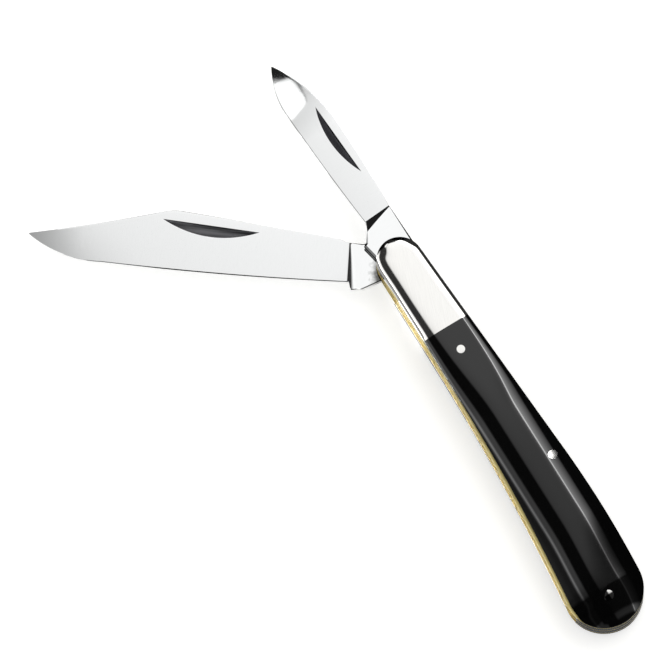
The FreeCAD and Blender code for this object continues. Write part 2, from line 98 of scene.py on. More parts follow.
def per_mm(size: float) -> float:
    """Gives the texture scale at which one feature of a pattern is that many millimetres wide."""
    return 1 / (size * MM)


def smooth(low: float, high: float, at: float) -> float:
    """Gives the smooth step from 0 at low to 1 at high."""
    share = min(max((at - low) / (high - low), 0.0), 1.0)
    return share * share * (3 - 2 * share)


def add(tree: NodeTree, kind: str, inputs: dict | None = None, **settings: object) -> Node:
    """Adds a node with its settings, values and links.

    Args:
        tree: The tree that gets the node.
        kind: The node's type name.
        inputs: Socket name or number to a value, to the socket that feeds it, or to the node whose first
            output does.
        settings: The node's own properties.

    Returns:
        The new node.
    """
    node = tree.nodes.new(kind)
    for name, value in settings.items():
        setattr(node, name, value)
    for name, value in (inputs or {}).items():
        source = value.outputs[0] if isinstance(value, Node) else value
        if isinstance(source, NodeSocket):
            tree.links.new(source, node.inputs[name])
        else:
            node.inputs[name].default_value = value
    return node


def mix(low: float, high: float, share: float) -> float:
    """Gives the value that is a share of the way from low to high."""
    return low + (high - low) * share


def link(name: str, data: ID) -> Object:
    """Puts a new object with that data in the scene."""
    thing = bpy.data.objects.new(name, data)
    bpy.context.scene.collection.objects.link(thing)
    return thing


def as_mesh(work: BMesh, name: str) -> Mesh:
    """Turns a working mesh into a mesh, and frees it."""
    mesh = bpy.data.meshes.new(name)
    work.to_mesh(mesh)
    work.free()
    return mesh


def evaluated(thing: Object) -> Mesh:
    """Gives the mesh that an object's modifiers make, and removes the object."""
    mesh = bpy.data.meshes.new_from_object(thing.evaluated_get(bpy.context.evaluated_depsgraph_get()))
    bpy.data.objects.remove(thing)
    return mesh


def blank_material(name: str) -> tuple[Material, NodeTree]:
    """Makes a material whose tree has only an output node."""
    material = bpy.data.materials.new(name)
    material.use_nodes = True
    material.node_tree.nodes.clear()
    add(material.node_tree, "ShaderNodeOutputMaterial")
    return material, material.node_tree


def close(tree: NodeTree, shader: Node) -> None:
    """Links a shader to its tree's output."""
    tree.links.new(shader.outputs[0], tree.nodes["Material Output"].inputs["Surface"])


@dataclass(frozen=True)
class PolishedMetal:
    """A buffed metal: a mirror crossed by the fine lines that the polishing wheel left."""

    name: str
    colour: str
    tone: str
    gloss: float
    haze: float
    line_mm: float
    line_depth_mm: float
    turn_deg: float = 0.0
    stretch: float = 30.0
    patch_mm: float = 6.0
    wear_span: Point = (0.1, 0.45)
    tone_span: Point = (0.35, 0.65)
    edge: str = "FFFFFF"
    # Painted shade round the pivot, in ragged streaks: it stands in for the shadow and dark reflection of the
    # bolster and the pen blade's tang.
    pivot_shade_mm: float = 0.0
    pivot_shade_fade_mm: Point = (-1.4, 0.5)
    pivot_shade_share: float = 0.9
    pivot_shade_colour: str = "3A3938"
    shade_streak_mm: float = 1.1
    shade_streak_reach_mm: float = 2.4

    def material(self) -> Material:
        """Builds the material, on Object coordinates."""
        material, tree = blank_material(self.name)
        place = add(tree, "ShaderNodeTexCoord").outputs["Object"]
        turned = add(tree, "ShaderNodeMapping", {
            "Vector": place, "Rotation": (0, 0, math.radians(self.turn_deg))})
        along = add(tree, "ShaderNodeMapping", {"Vector": turned, "Scale": (1 / self.stretch, 1, 1)})
        lines = add(tree, "ShaderNodeTexNoise", {
            "Vector": along, "Scale": per_mm(self.line_mm), "Detail": 3.0, "Roughness": 0.6})
        patches = add(tree, "ShaderNodeTexNoise", {
            "Vector": place, "Scale": per_mm(self.patch_mm), "Detail": 2.0})
        wear = add(tree, "ShaderNodeMath", {0: lines, 1: patches}, operation="MULTIPLY")
        rough = add(tree, "ShaderNodeMapRange", {
            "Value": wear, "From Min": self.wear_span[0], "From Max": self.wear_span[1],
            "To Min": self.gloss, "To Max": self.haze})
        share = add(tree, "ShaderNodeMapRange", {
            "Value": lines, "From Min": self.tone_span[0], "From Max": self.tone_span[1]})
        tint = add(tree, "ShaderNodeMix", {0: share, 6: linear(self.colour), 7: linear(self.tone)},
                   data_type="RGBA").outputs[2]
        # Painted shade round the pivot, in streaks, for the shadow and dark reflection of the bolster and the
        # pen blade's tang.
        if self.pivot_shade_mm:
            tint = self.painted_pivot_shade(tree, place, tint)
        bump = add(tree, "ShaderNodeBump", {
            "Height": lines, "Strength": 1.0, "Distance": self.line_depth_mm * MM})
        close(tree, add(tree, "ShaderNodeBsdfPrincipled", {
            "Base Color": tint, "Metallic": 1.0, "Roughness": rough, "Normal": bump,
            "Specular Tint": linear(self.edge)}))
        return material

    def painted_pivot_shade(self, tree: NodeTree, place: NodeSocket, tint: NodeSocket) -> NodeSocket:
        """Paints shade on the metal round the pivot, in ragged streaks: a painted shadow and dark reflection
        of the bolster and the pen blade's tang.

        Args:
            tree: The material's tree.
            place: Object coordinates.
            tint: The metal's own colour.

        Returns:
            The colour with the painted shade.
        """
        flat = add(tree, "ShaderNodeVectorMath", {0: place, 1: (1, 1, 0)}, operation="MULTIPLY")
        reach = add(tree, "ShaderNodeVectorMath", {0: flat}, operation="LENGTH").outputs["Value"]
        streaks = add(tree, "ShaderNodeTexNoise", {
            "Vector": place, "Scale": per_mm(self.shade_streak_mm), "Detail": 3.0})
        ragged = add(tree, "ShaderNodeMath", {0: streaks, 1: self.shade_streak_reach_mm * MM, 2: reach},
                     operation="MULTIPLY_ADD")
        start, end = ((self.pivot_shade_mm + fade) * MM for fade in self.pivot_shade_fade_mm)
        share = add(tree, "ShaderNodeMapRange", {
            "Value": ragged, "From Min": start, "From Max": end, "To Min": self.pivot_shade_share,
            "To Max": 0.0})
        return add(tree, "ShaderNodeMix", {0: share, 6: tint, 7: linear(self.pivot_shade_colour)},
                   data_type="RGBA").outputs[2]


@dataclass(frozen=True)
class MouldedScale:
    """Black moulded handle scale, buffed: a deep gloss with a faint waviness and hairline scuffs."""

    name: str
    colour: str
    fleck: str
    gloss: float
    haze: float
    wave_mm: float
    wave_depth_mm: float
    grain_mm: float = 0.8
    grain_span: Point = (0.35, 0.7)

    def material(self) -> Material:
        """Builds the material, on Object coordinates."""
        material, tree = blank_material(self.name)
        place = add(tree, "ShaderNodeTexCoord").outputs["Object"]
        wave = add(tree, "ShaderNodeTexNoise", {
            "Vector": place, "Scale": per_mm(self.wave_mm), "Detail": 1.0})
        grain = add(tree, "ShaderNodeTexNoise", {
            "Vector": place, "Scale": per_mm(self.grain_mm), "Detail": 4.0})
        tint = add(tree, "ShaderNodeMix", {0: grain, 6: linear(self.colour), 7: linear(self.fleck)},
                   data_type="RGBA").outputs[2]
        rough = add(tree, "ShaderNodeMapRange", {
            "Value": grain, "From Min": self.grain_span[0], "From Max": self.grain_span[1],
            "To Min": self.gloss, "To Max": self.haze})
        bump = add(tree, "ShaderNodeBump", {
            "Height": wave, "Strength": 1.0, "Distance": self.wave_depth_mm * MM})
        close(tree, add(tree, "ShaderNodeBsdfPrincipled", {
            "Base Color": tint, "Roughness": rough, "IOR": 1.52, "Normal": bump}))
        return material


# Carbon cutlery steel, mirror-glazed on a soft wheel: near-white reflections, hairlines across the blade. On
# the main blade, painted shade in streaks round the pivot.
MAIN_STEEL = PolishedMetal("mirror_glazed_steel_main", "E6E7E7", "E4E5E5", gloss=0.03, haze=0.06,
                           line_mm=0.12, line_depth_mm=0.00002, turn_deg=MAIN_TURN - 90, pivot_shade_mm=8.0)
PEN_STEEL = replace(MAIN_STEEL, name="mirror_glazed_steel_pen", turn_deg=PEN_TURN - 90, pivot_shade_mm=0.0)
# The nick is struck before the blade is glazed, so its floor stays dull and dark, with marks along it. The
# same dark finish on the tang's walls is partly painted shade of the joint.
MAIN_NICK = PolishedMetal("struck_dull_steel_and_joint_shade_main", "1B1B1D", "5E5E60", gloss=0.25, haze=0.4, line_mm=0.9,
                          line_depth_mm=0.004, turn_deg=MAIN_TURN)
PEN_NICK = replace(MAIN_NICK, name="struck_dull_steel_and_joint_shade_pen", colour="0E0E10", tone="222224",
                   turn_deg=PEN_TURN, edge="2A2A2C")
# Spring steel, ground and polished flush with the back: duller, with lines along the back.
SPRING_STEEL = PolishedMetal("ground_spring_steel", "B6B7B8", "A6A7A8", gloss=0.12, haze=0.26, line_mm=0.1,
                             line_depth_mm=0.0004)
# Nickel silver, cast, filed and buffed: a warm white mirror with the softest lines.
NICKEL_SILVER = PolishedMetal("buffed_nickel_silver", "E8E7E4", "E4E3E0", gloss=0.04, haze=0.09,
                              line_mm=0.18, line_depth_mm=0.00005, turn_deg=20.0)
# The middle pin's head, spread by the hammer and only wiped by the wheel: the same metal, a softer mirror.
PEENED_SILVER = replace(NICKEL_SILVER, name="peened_nickel_silver", gloss=0.17, haze=0.21,
                        line_depth_mm=0.0001)
# Sheet brass, sheared and filed at its edge: yellow, a little brushed along the liner.
SHEET_BRASS = PolishedMetal("filed_sheet_brass", "FFF0AA", "F6E094", gloss=0.3, haze=0.42, line_mm=0.12,
                            line_depth_mm=0.0006)
# Moulded black scale, buffed after pinning: black, sharp reflections, a slightly uneven surface.
BLACK_SCALE = MouldedScale("buffed_black_moulding", "030303", "070707", gloss=0.03, haze=0.07, wave_mm=9.0,
                           wave_depth_mm=0.0015)


def arc(start: Point, end: Point, radius: float, turn: Turn, step: float) -> list[Point]:
    """Samples the short arc of a radius from one point to another.

    Args:
        start: Where it starts.
        end: Where it ends.
        radius: Its radius.
        turn: The way it turns.
        step: The longest distance between samples.

    Returns:
        The points after start, up to and with end.
    """
    first, last = Vector(start), Vector(end)
    chord = last - first
    left = Vector((-chord.y, chord.x)).normalized()
    centre = (first + last) / 2 + left * turn.value * math.sqrt(radius ** 2 - (chord.length / 2) ** 2)
    from_angle = math.atan2(first.y - centre.y, first.x - centre.x)
    sweep = 2 * math.asin(min(chord.length / 2 / radius, 1.0)) * turn.value
    count = max(2, math.ceil(abs(sweep) * radius / step))
    return [(centre.x + radius * math.cos(from_angle + sweep * at / count),
             centre.y + radius * math.sin(from_angle + sweep * at / count)) for at in range(1, count + 1)]


def height_at(chain: list[Point], x: float) -> float:
    """Reads a chain of points, in order of x, as a curve: gives the y at that x."""
    for (x0, y0), (x1, y1) in zip(chain, chain[1:]):
        if x <= x1:
            return y0 + (y1 - y0) * (x - x0) / (x1 - x0) if x1 > x0 else y1
    return chain[-1][1]


def finish_mesh(name: str, mesh: Mesh, materials: list[Material], sharp_deg: float,
                body: str, nodes: tuple[str, ...]) -> Object:
    """Makes a mesh a dressed piece of the knife.

    Args:
        name: The piece's name.
        mesh: Its mesh, in metres in the row frame.
        materials: Its materials.
        sharp_deg: Edges that turn by more than this stay sharp.
        body: The body that it rides on.
        nodes: The CAD nodes that it stands for.

    Returns:
        The piece.
    """
    mesh.materials.clear()
    for material in materials:
        mesh.materials.append(material)
    mesh.polygons.foreach_set("use_smooth", [True] * len(mesh.polygons))
    mesh.set_sharp_from_angle(angle=math.radians(sharp_deg))
    piece = link(name, mesh)
    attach(piece, body)
    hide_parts(*nodes)
    LOG.info("%s: %d faces on %s", name, len(mesh.polygons), body)
    return piece


@dataclass
class Handle:
    """The fixed frame of the knife: bolsters and scales over brass liners and steel springs.

    Sizes are in millimetres. A span is where a smooth step starts and ends.
    """

    nose_x: float = -2.35
    nose_y: float = 0.35
    nose_radius: float = 4.75
    butt_x: float = 76.9
    butt_radius: float = 8.1
    back_slope: float = 3.6
    back_bend_radius: float = 210.0
    belly_bend_radius: float = 560.0
    ridge_y: float = 1.95
    butt_ridge_y: float = 1.1
    ridge_rise: Point = (0.05, 0.45)
    ridge_fall: Point = (0.8, 1.0)
    front_ledge: float = 0.12
    ledge_start: Point = (-2.3, 3.0)
    ledge_growth: float = 0.38
    ledge_swell: Point = (22.0, 58.0)
    ledge_end: Point = (0.1, 0.55)
    cover_thickness: float = 3.0
    front_z: float = 8.5
    least_wall: float = 0.4
    crown_swell: float = 0.04
    belly_power: float = 2.94
    back_power: float = 5.0
    back_span: Point = (-0.85, 0.35)
    scale_power: float = 2.0
    scale_bend: float = 0.07
    scale_span: Point = (10.0, 36.0)
    bolster_slope: float = 0.47
    back_gain: float = 0.03
    nose_gain: float = 0.05
    nose_span: Point = (0.3, 0.95)
    corner_gain: float = 0.3
    corner_span: Point = (0.66, 0.95)
    corner_way: Point = (0.75, 0.66)
    rim_ease: float = 0.075
    rim_power: float = 16.0
    ease_span: Point = (0.8, 1.0)
    ease_end: Point = (-1.2, 0.0)
    bolster_line: float = 14.6
    joint_gap: float = 0.015
    side_steps: int = 150
    cap_steps: int = 56
    ring_steps: int = 30
    sharp_deg: float = 32.0

    def edge_y(self, x: float, upper: bool) -> float:
        """Gives the outline's y at a place along the handle.

        Args:
            x: The place, between the centres of the nose and the butt.
            upper: True for the back, False for the belly.

        Returns:
            The y of the outline.
        """
        if upper:
            lean = math.radians(self.back_slope)
            square = Vector((-math.sin(lean), math.cos(lean)))
            run = Vector((math.cos(lean), math.sin(lean)))
            line = square.dot(Vector((self.nose_x, self.nose_y))) + self.nose_radius
            centre_butt = Vector((self.butt_x, 0))
            depth = line - self.back_bend_radius
            reach = math.sqrt((self.back_bend_radius - self.butt_radius) ** 2
                              - (centre_butt.dot(square) - depth) ** 2)
            centre = square * depth + run * (centre_butt.dot(run) - reach)
            if x < centre.x + square.x * self.back_bend_radius:
                return (line - square.x * x) / square.y
            return centre.y + math.sqrt(self.back_bend_radius ** 2 - (x - centre.x) ** 2)
        belly = self.nose_y - self.nose_radius
        depth = belly - self.belly_bend_radius
        reach = math.sqrt((self.belly_bend_radius + self.butt_radius) ** 2 - depth ** 2)
        centre_x = self.butt_x - reach
        share = self.belly_bend_radius / (self.belly_bend_radius + self.butt_radius)
        if x < centre_x:
            return belly
        if x < centre_x + reach * share:
            return depth + math.sqrt(self.belly_bend_radius ** 2 - (x - centre_x) ** 2)
        return -math.sqrt(max(self.butt_radius ** 2 - (x - self.butt_x) ** 2, 0.0))

    def core(self, share: float) -> Point:
        """Gives a point of the crown's ridge, from 0 at the nose to 1 at the butt."""
        rise = smooth(*self.ridge_rise, share) * (self.ridge_y - self.nose_y)
        fall = smooth(*self.ridge_fall, share) * (self.ridge_y - self.butt_ridge_y)
        return mix(self.nose_x, self.butt_x, share), self.nose_y + rise - fall

    def ledge_at(self, x: float, face: Face) -> float:
        """Gives how far a cover stands back from the liner along the belly; only the front one does."""
        if face is Face.REAR:
            return 0.0
        start = self.front_ledge * smooth(*self.ledge_start, x)
        return start + self.ledge_growth * smooth(*self.ledge_swell, x)

    def columns(self, face: Face) -> list[tuple[Point, Point]]:
        """Samples the outline, anticlockwise: each rim point with the ridge point that it runs in to."""
        cores = [self.core(step / self.side_steps) for step in range(self.side_steps + 1)]
        angles = [math.pi * step / self.cap_steps for step in range(1, self.cap_steps)]
        nose, butt = cores[0], cores[-1]
        found = [((x, self.edge_y(x, False) + self.ledge_at(x, face)), (x, y)) for x, y in cores]
        for angle in angles:
            kept = 1 - smooth(*self.ledge_end, angle)
            radius = self.butt_radius - self.ledge_at(self.butt_x, face) * kept
            found.append(((butt[0] + radius * math.sin(angle), -radius * math.cos(angle)), butt))
        found += [((x, self.edge_y(x, True)), (x, y)) for x, y in reversed(cores)]
        found += [((nose[0] - self.nose_radius * math.sin(angle),
                    nose[1] + self.nose_radius * math.cos(angle)), nose) for angle in angles]
        return found

    def crown(self, rim: Point, core: Point) -> tuple[float, float]:
        """Gives the curve of the crown from the ridge to a place on the rim.

        Args:
            rim: The place on the rim.
            core: The ridge point that it runs in to.

        Returns:
            How far the crown drops at the rim, and the power that it drops with.
        """
        reach = math.dist(rim, core)
        nose, back = (core[0] - rim[0]) / reach, (rim[1] - core[1]) / reach
        toward_back, to_scale = smooth(*self.back_span, back), smooth(*self.scale_span, rim[0])
        power = mix(mix(self.belly_power, self.back_power, toward_back), self.scale_power, to_scale)
        corner = self.corner_way[0] * nose + self.corner_way[1] * back
        bolster = self.bolster_slope + self.back_gain * toward_back
        bolster += self.nose_gain * smooth(*self.nose_span, nose)
        bolster += self.corner_gain * smooth(*self.corner_span, corner)
        slope = mix(bolster, self.scale_bend * reach, to_scale)
        deepest = self.cover_thickness + self.crown_swell - self.least_wall
        return min(slope * reach / power, deepest), power

    def fall(self, rim: Point, core: Point, across: float) -> float:
        """Gives the crown's drop a share of the way out, with the bolster's rim eased over at the belly."""
        drop, power = self.crown(rim, core)
        belly = (core[1] - rim[1]) / math.dist(rim, core)
        eased = self.rim_ease * smooth(*self.ease_span, belly)
        eased *= 1 - smooth(*self.ease_end, rim[0] - self.bolster_line)
        return drop * across ** power + eased * across ** self.rim_power

    def surface(self, x: float, y: float) -> float:
        """Gives the height of a cover's outer face over its inner face, at a place on the handle."""
        share = (x - self.nose_x) / (self.butt_x - self.nose_x)
        core = self.core(min(max(share, 0.0), 1.0))
        spot, butt = Vector((x, y)), Vector((self.butt_x, 0))
        if share > 1.0:
            rim = butt + (spot - butt).normalized() * self.butt_radius
        else:
            rim = Vector((core[0], self.edge_y(core[0], y > core[1])))
        across = min((spot - Vector(core)).length / math.dist(rim, core), 1.0)
        return self.cover_thickness + self.crown_swell - self.fall((rim.x, rim.y), core, across)

    def cover(self, face: Face) -> BMesh:
        """Builds the whole cover of one side, in metres in the row frame."""
        mesh = bmesh.new()
        top = self.cover_thickness + self.crown_swell
        inner_z = self.front_z if face is Face.FRONT else self.cover_thickness
        rings: list[list[BMVert]] = []
        columns = self.columns(face)
        for ring in range(self.ring_steps + 2):
            across = math.cos(math.pi / 2 * max(ring - 1, 0) / self.ring_steps)
            rings.append([])
            for rim, core in columns:
                up = top - self.fall(rim, core, across) if ring else 0.0
                rings[-1].append(mesh.verts.new((mix(core[0], rim[0], across) * MM,
                                                 mix(core[1], rim[1], across) * MM,
                                                 (inner_z + face.value * up) * MM)))
        for low, high in zip(rings, rings[1:]):
            wall(mesh, low + low[:1], high + high[:1])
        mesh.faces.new(rings[0][::-1])
        bmesh.ops.remove_doubles(mesh, verts=mesh.verts, dist=SAME_PLACE)
        bmesh.ops.dissolve_degenerate(mesh, edges=mesh.edges, dist=SAME_PLACE)
        bmesh.ops.recalc_face_normals(mesh, faces=mesh.faces)
        return mesh

    def part_cover(self, face: Face, toward_butt: bool) -> Mesh:
        """Cuts a cover at the bolster joint, and keeps the scale toward the butt or else the bolster."""
        way = 1 if toward_butt else -1
        mesh = self.cover(face)
        cut = Vector(((self.bolster_line + way * self.joint_gap) * MM, 0, 0))
        bmesh.ops.bisect_plane(mesh, geom=mesh.verts[:] + mesh.edges[:] + mesh.faces[:], plane_co=cut,
                               plane_no=(-way, 0, 0), clear_outer=True)
        open_edges = [edge for edge in mesh.edges if edge.is_boundary]
        bmesh.ops.edgenet_fill(mesh, edges=open_edges)
        bmesh.ops.recalc_face_normals(mesh, faces=mesh.faces)
        return as_mesh(mesh, "cover")

    def build(self) -> None:
        """Builds and dresses the bolsters and scales."""
        silver, black = NICKEL_SILVER.material(), BLACK_SCALE.material()
        for face, side in ((Face.FRONT, "front"), (Face.REAR, "rear")):
            finish_mesh(f"{side}_bolster_cover", self.part_cover(face, False), [silver], self.sharp_deg,
                        "handle", (f"{side}_bolster",))
            finish_mesh(f"{side}_scale_cover", self.part_cover(face, True), [black], self.sharp_deg,
                        "handle", (f"{side}_scale",))

    def dress(self, nodes: dict[str, Object]) -> None:
        """Gives the CAD nodes that stay their finishes.

        Args:
            nodes: The frame's nodes.
        """
        brass, spring = SHEET_BRASS.material(), SPRING_STEEL.material()
        finishes = {"front_liner": brass, "rear_liner": brass, "centre_liner": brass,
                    "front_bolster_rivets": brass, "rear_bolster_rivets": brass,
                    "main_spring": spring, "pen_spring": spring}
        for name, material in finishes.items():
            nodes[name].data.materials.clear()
            nodes[name].data.materials.append(material)
            LOG.info("%s: dressed", name)


@dataclass
class Blade:
    """A blade: a flat tang, a plunge, a slightly round ground face with a fine edge, and a nail nick."""

    kind: str
    spine: list[Point]
    edge: list[Point]
    tang: list[Point]
    base_z: float
    thickness: float
    turn_deg: float
    grind_spine_x: float
    grind_edge_x: float
    plunge_deg: float
    grind_top_y: float
    grind_foot_y: float
    nick_x: float
    nick_y: float
    nick_turn: float
    nick_length: float
    nick_width: float
    cannel: float
    taper_start: float
    taper_run: float
    point_taper: float
    keen_width: float
    keen_slope: float
    pivot_hole: float = 1.24
    edge_thickness: float = 0.2
    nick_depth: float = 0.45
    margin: float = 3.0
    keen_half: float = 0.015
    bright_kick: int = 0
    plunge_power: float = 1.2
    broken: float = 0.1
    broken_drop: float = 0.07
    tang_broken: float = 0.4
    tang_drop: float = 0.195
    corner_parts: tuple[float, ...] = (0.0, 0.2, 0.45, 0.75)
    face_end: float = 0.95
    face_steps: int = 26
    keen_lead: float = 1.15
    keen_rows: int = 10
    plunge_steps: int = 16
    settle_steps: int = 24
    stations: int = 190
    crowding: float = 0.25
    bore_steps: int = 48
    nick_steps: int = 720
    sharp_deg: float = 14.0

    @property
    def length(self) -> float:
        """The distance from the pivot to the tip."""
        return self.spine[-1][0]

    @property
    def width(self) -> float:
        """The greatest distance from the spine to the edge."""
        return self.grind_foot_y - self.grind_top_y

    def y_at(self, x: float, across: float) -> float:
        """Gives the y at a place along the blade, from 0 at the spine to 1 at the edge."""
        return mix(height_at(self.spine, x), height_at(self.edge, x), across)

    def grind_x(self, y: float) -> float:
        """Gives where the ground face starts, at a place across the blade."""
        low, high = self.grind_top_y - self.margin, self.grind_foot_y + self.margin
        return mix(self.grind_spine_x, self.grind_edge_x, (y - low) / (high - low))

    def ground_half(self, x: float, y: float) -> float:
        """Gives half the ground blade's thickness at a place, before the plunge and the keen edge."""
        share = max((y - self.grind_top_y) / self.width, 0.0)
        half = mix(self.thickness, self.edge_thickness, share ** self.cannel) / 2
        along = smooth(self.taper_start, self.taper_start + self.taper_run, x)
        return half * (1 - self.point_taper * along)

    def half(self, x: float, y: float, edge_gap: float, spine_gap: float, keenness: float) -> float:
        """Gives half the thickness anywhere on the ground part.

        Args:
            x: Place along the blade.
            y: Place across it.
            edge_gap: Distance to the cutting edge.
            spine_gap: Distance to the spine.
            keenness: 1 where the edge is sharpened, 0 where it is only broken.

        Returns:
            Half the thickness.
        """
        half = self.ground_half(x, y)
        climb = self.thickness / 2 - half
        if climb > 0:
            share = max(self.grind_x(y) - x, 0.0) / self.plunge_reach(climb)
            half += climb * min(share, 1.0) ** self.plunge_power
        keen = max(half - self.keen_slope * max(self.keen_width - edge_gap, 0.0), self.keen_half)
        dull_and_shaded = half - self.broken_edge(edge_gap)
        return max(dull_and_shaded + (keen - dull_and_shaded) * keenness - self.broken_edge(spine_gap), self.keen_half)

    def plunge_reach(self, climb: float) -> float:
        """Gives the length of the plunge where it climbs by that much."""
        return climb / math.tan(math.radians(self.plunge_deg))

    def broken_edge(self, gap: float) -> float:
        """Gives how far a broken corner drops at a distance from it."""
        reach = min(max(1 - gap / self.broken, 0.0), 1.0)
        return self.broken_drop * (1 - math.sqrt(1 - reach * reach))

    def ramp_x(self, share: float, across: float) -> float:
        """Gives the x of a station within the plunge.

        Args:
            share: 0 where the plunge leaves the flat tang, 1 where it meets the ground face.
            across: 0 at the spine, 1 at the edge.

        Returns:
            The station's x.
        """
        x = self.grind_spine_x
        for _ in range(self.settle_steps):
            y = self.y_at(x, across)
            climb = max(self.thickness / 2 - self.ground_half(x, y), 0.0)
            x = self.grind_x(y) - (1 - share) * self.plunge_reach(climb)
        return x

    def crossings(self) -> list[float]:
        """Gives the places across the blade, close together at the spine and at the edge."""
        corner, keen = self.broken / self.width, self.keen_width / self.width
        inner = [mix(corner, self.face_end, step / self.face_steps) for step in range(self.face_steps + 1)]
        outer = [1 - self.keen_lead * keen, 1 - keen, 1 - corner, 1 - corner / 2, 1.0]
        return [corner * part for part in self.corner_parts] + inner + outer

    def plan(self, crossings: list[float]) -> list[list[Point]]:
        """Gives rows of places across the ground part, through the plunge and on toward the tip."""
        rows = [[self.ramp_x(step / self.plunge_steps, across) for across in crossings]
                for step in range(self.plunge_steps + 1)]
        start = rows[-1]
        for step in range(1, self.stations):
            share = step / self.stations
            share += self.crowding * share * (1 - share)
            rows.append([mix(x, self.length, share) for x in start])
        return [[(x, self.y_at(x, across)) for x, across in zip(row, crossings)] for row in rows]

    def mesh(self) -> Mesh:
        """Builds the blade before its nick is cut: closed, in millimetres, about its own middle plane."""
        crossings = self.crossings()
        plan = self.plan(crossings)
        bevel = inset([plan[0][0]] + self.tang + [plan[0][-1]], self.tang_broken)
        turns = [math.tau * at / self.bore_steps for at in range(self.bore_steps)]
        flat, first = self.thickness / 2, len(self.corner_parts)
        mesh = bmesh.new()
        sides = []
        for way in (1, -1):
            rows = []
            for row, places in enumerate(plan):
                keenness = smooth(0, self.keen_rows, row)
                rows.append([mesh.verts.new((x, y, way * self.half(
                    x, y, (1 - across) * self.width, across * self.width, keenness)))
                    for across, (x, y) in zip(crossings, places)])
            for low, high in zip(rows, rows[1:]):
                wall(mesh, low, high)
            tip = mesh.verts.new((self.length, self.spine[-1][1], way * self.keen_half))
            for pair in zip(rows[-1], rows[-1][1:]):
                mesh.faces.new((*pair, tip))
            outline = [mesh.verts.new((x, y, way * (flat - self.tang_drop))) for x, y in self.tang]
            inner = [mesh.verts.new((x, y, way * flat)) for x, y in bevel]
            bore = [mesh.verts.new((self.pivot_hole * math.cos(turn), self.pivot_hole * math.sin(turn),
                                    way * flat)) for turn in turns]
            wall(mesh, outline, inner)
            mesh.faces.new([outline[0], inner[0]] + rows[0][first::-1])
            mesh.faces.new([inner[-1], outline[-1]] + rows[0][:-4:-1])
            rim = rows[0][-3:first - 1:-1] + inner
            loops = [edge_between(mesh, *pair) for loop in (rim, bore)
                     for pair in zip(loop, loop[1:] + loop[:1])]
            bmesh.ops.triangle_fill(mesh, edges=loops, use_beauty=True)
            sides.append(([row[0] for row in rows] + [tip], [row[-1] for row in rows] + [tip],
                          bore + bore[:1], [rows[0][0]] + outline + [rows[0][-1]]))
        # The last wall runs round the tang. It takes the nick's dark finish, but for its back and the bright
        # faces by the kick: unpolished steel, and also painted shade of the joint by the bolster.
        rough = [wall(mesh, front, back) for front, back in zip(*sides)][-1]
        for face in rough[len(rough) // 3:len(rough) - self.bright_kick]:
            face.material_index = 1
        bmesh.ops.recalc_face_normals(mesh, faces=mesh.faces)
        return as_mesh(mesh, f"{self.kind}_blade_ground")

    def nick(self) -> Mesh:
        """Builds the wheel that cuts the nick: a cone with its straight side toward the spine."""
        wheel = (self.nick_length ** 2 / 4 + self.nick_depth ** 2) / (2 * self.nick_depth)
        surface = self.ground_half(self.nick_x, self.nick_y)
        rise = self.nick_depth / self.nick_width - surface + self.ground_half(self.nick_x, self.nick_y + 1)
        mesh = bmesh.new()
        bmesh.ops.create_cone(mesh, cap_ends=True, segments=self.nick_steps, radius1=wheel,
                              radius2=wheel - 2 * rise * self.nick_width, depth=2 * self.nick_width)
        mesh.transform(Matrix.Translation((self.nick_x, self.nick_y, surface - self.nick_depth + wheel))
                       @ Matrix.Rotation(math.radians(self.nick_turn), 4, "Z")
                       @ Matrix.Rotation(math.radians(-90), 4, "X")
                       @ Matrix.Translation((0, 0, self.nick_width)))
        return as_mesh(mesh, f"{self.kind}_nick")

    def build(self, steel: Material, dull_and_shaded: Material) -> None:
        """Cuts the nick, sets the blade in its layer at its rest angle and dresses it.

        Args:
            steel: The ground face's finish.
            dull_and_shaded: The nick's finish, which also goes on the tang's walls: dull steel there, and
                painted shade of the joint.
        """
        ground = link(f"{self.kind}_ground", self.mesh())
        cutter = link(f"{self.kind}_cutter", self.nick())
        for material in (steel, dull_and_shaded):
            ground.data.materials.append(material)
        cutter.data.materials.append(dull_and_shaded)
        cut = ground.modifiers.new("nick", "BOOLEAN")
        cut.operation, cut.object, cut.solver, cut.material_mode = "DIFFERENCE", cutter, "EXACT", "TRANSFER"
        shaped = evaluated(ground)
        bpy.data.objects.remove(cutter)
        shaped.transform(Matrix.Rotation(math.radians(-self.turn_deg), 4, "Z"))
        shaped.transform(Matrix.Translation((0, 0, self.base_z + self.thickness / 2)))
        shaped.transform(Matrix.Scale(MM, 4))
        picks = [polygon.material_index for polygon in shaped.polygons]
        piece = finish_mesh(f"{self.kind}_blade_ground", shaped, [steel, dull_and_shaded], self.sharp_deg,
                            f"{self.kind}_blade", (f"{self.kind}_blade",))
        piece.data.polygons.foreach_set("material_index", picks)


def inset(chain: list[Point], distance: float, sharpest: float = 0.4) -> list[Point]:
    """Moves the inner points of a clockwise chain to its right.

    Args:
        chain: The points, with one more at each end.
        distance: How far each side moves.
        sharpest: The least that a corner's spread counts as, so that a sharp one doesn't run far out.

    Returns:
        The moved points, without the ends.
    """
    moved = []
    for before, here, after in zip(chain, chain[1:], chain[2:]):
        first = (Vector(here) - Vector(before)).normalized()
        second = (Vector(after) - Vector(here)).normalized()
        right, other = Vector((first.y, -first.x)), Vector((second.y, -second.x))
        shift = (right + other) / max(1 + right.dot(other), sharpest) * distance
        moved.append((here[0] + shift.x, here[1] + shift.y))
    return moved


def edge_between(mesh: BMesh, first: BMVert, last: BMVert) -> BMEdge:
    """Gives the edge that joins two vertices, new if there is none."""
    return mesh.edges.get((first, last)) or mesh.edges.new((first, last))


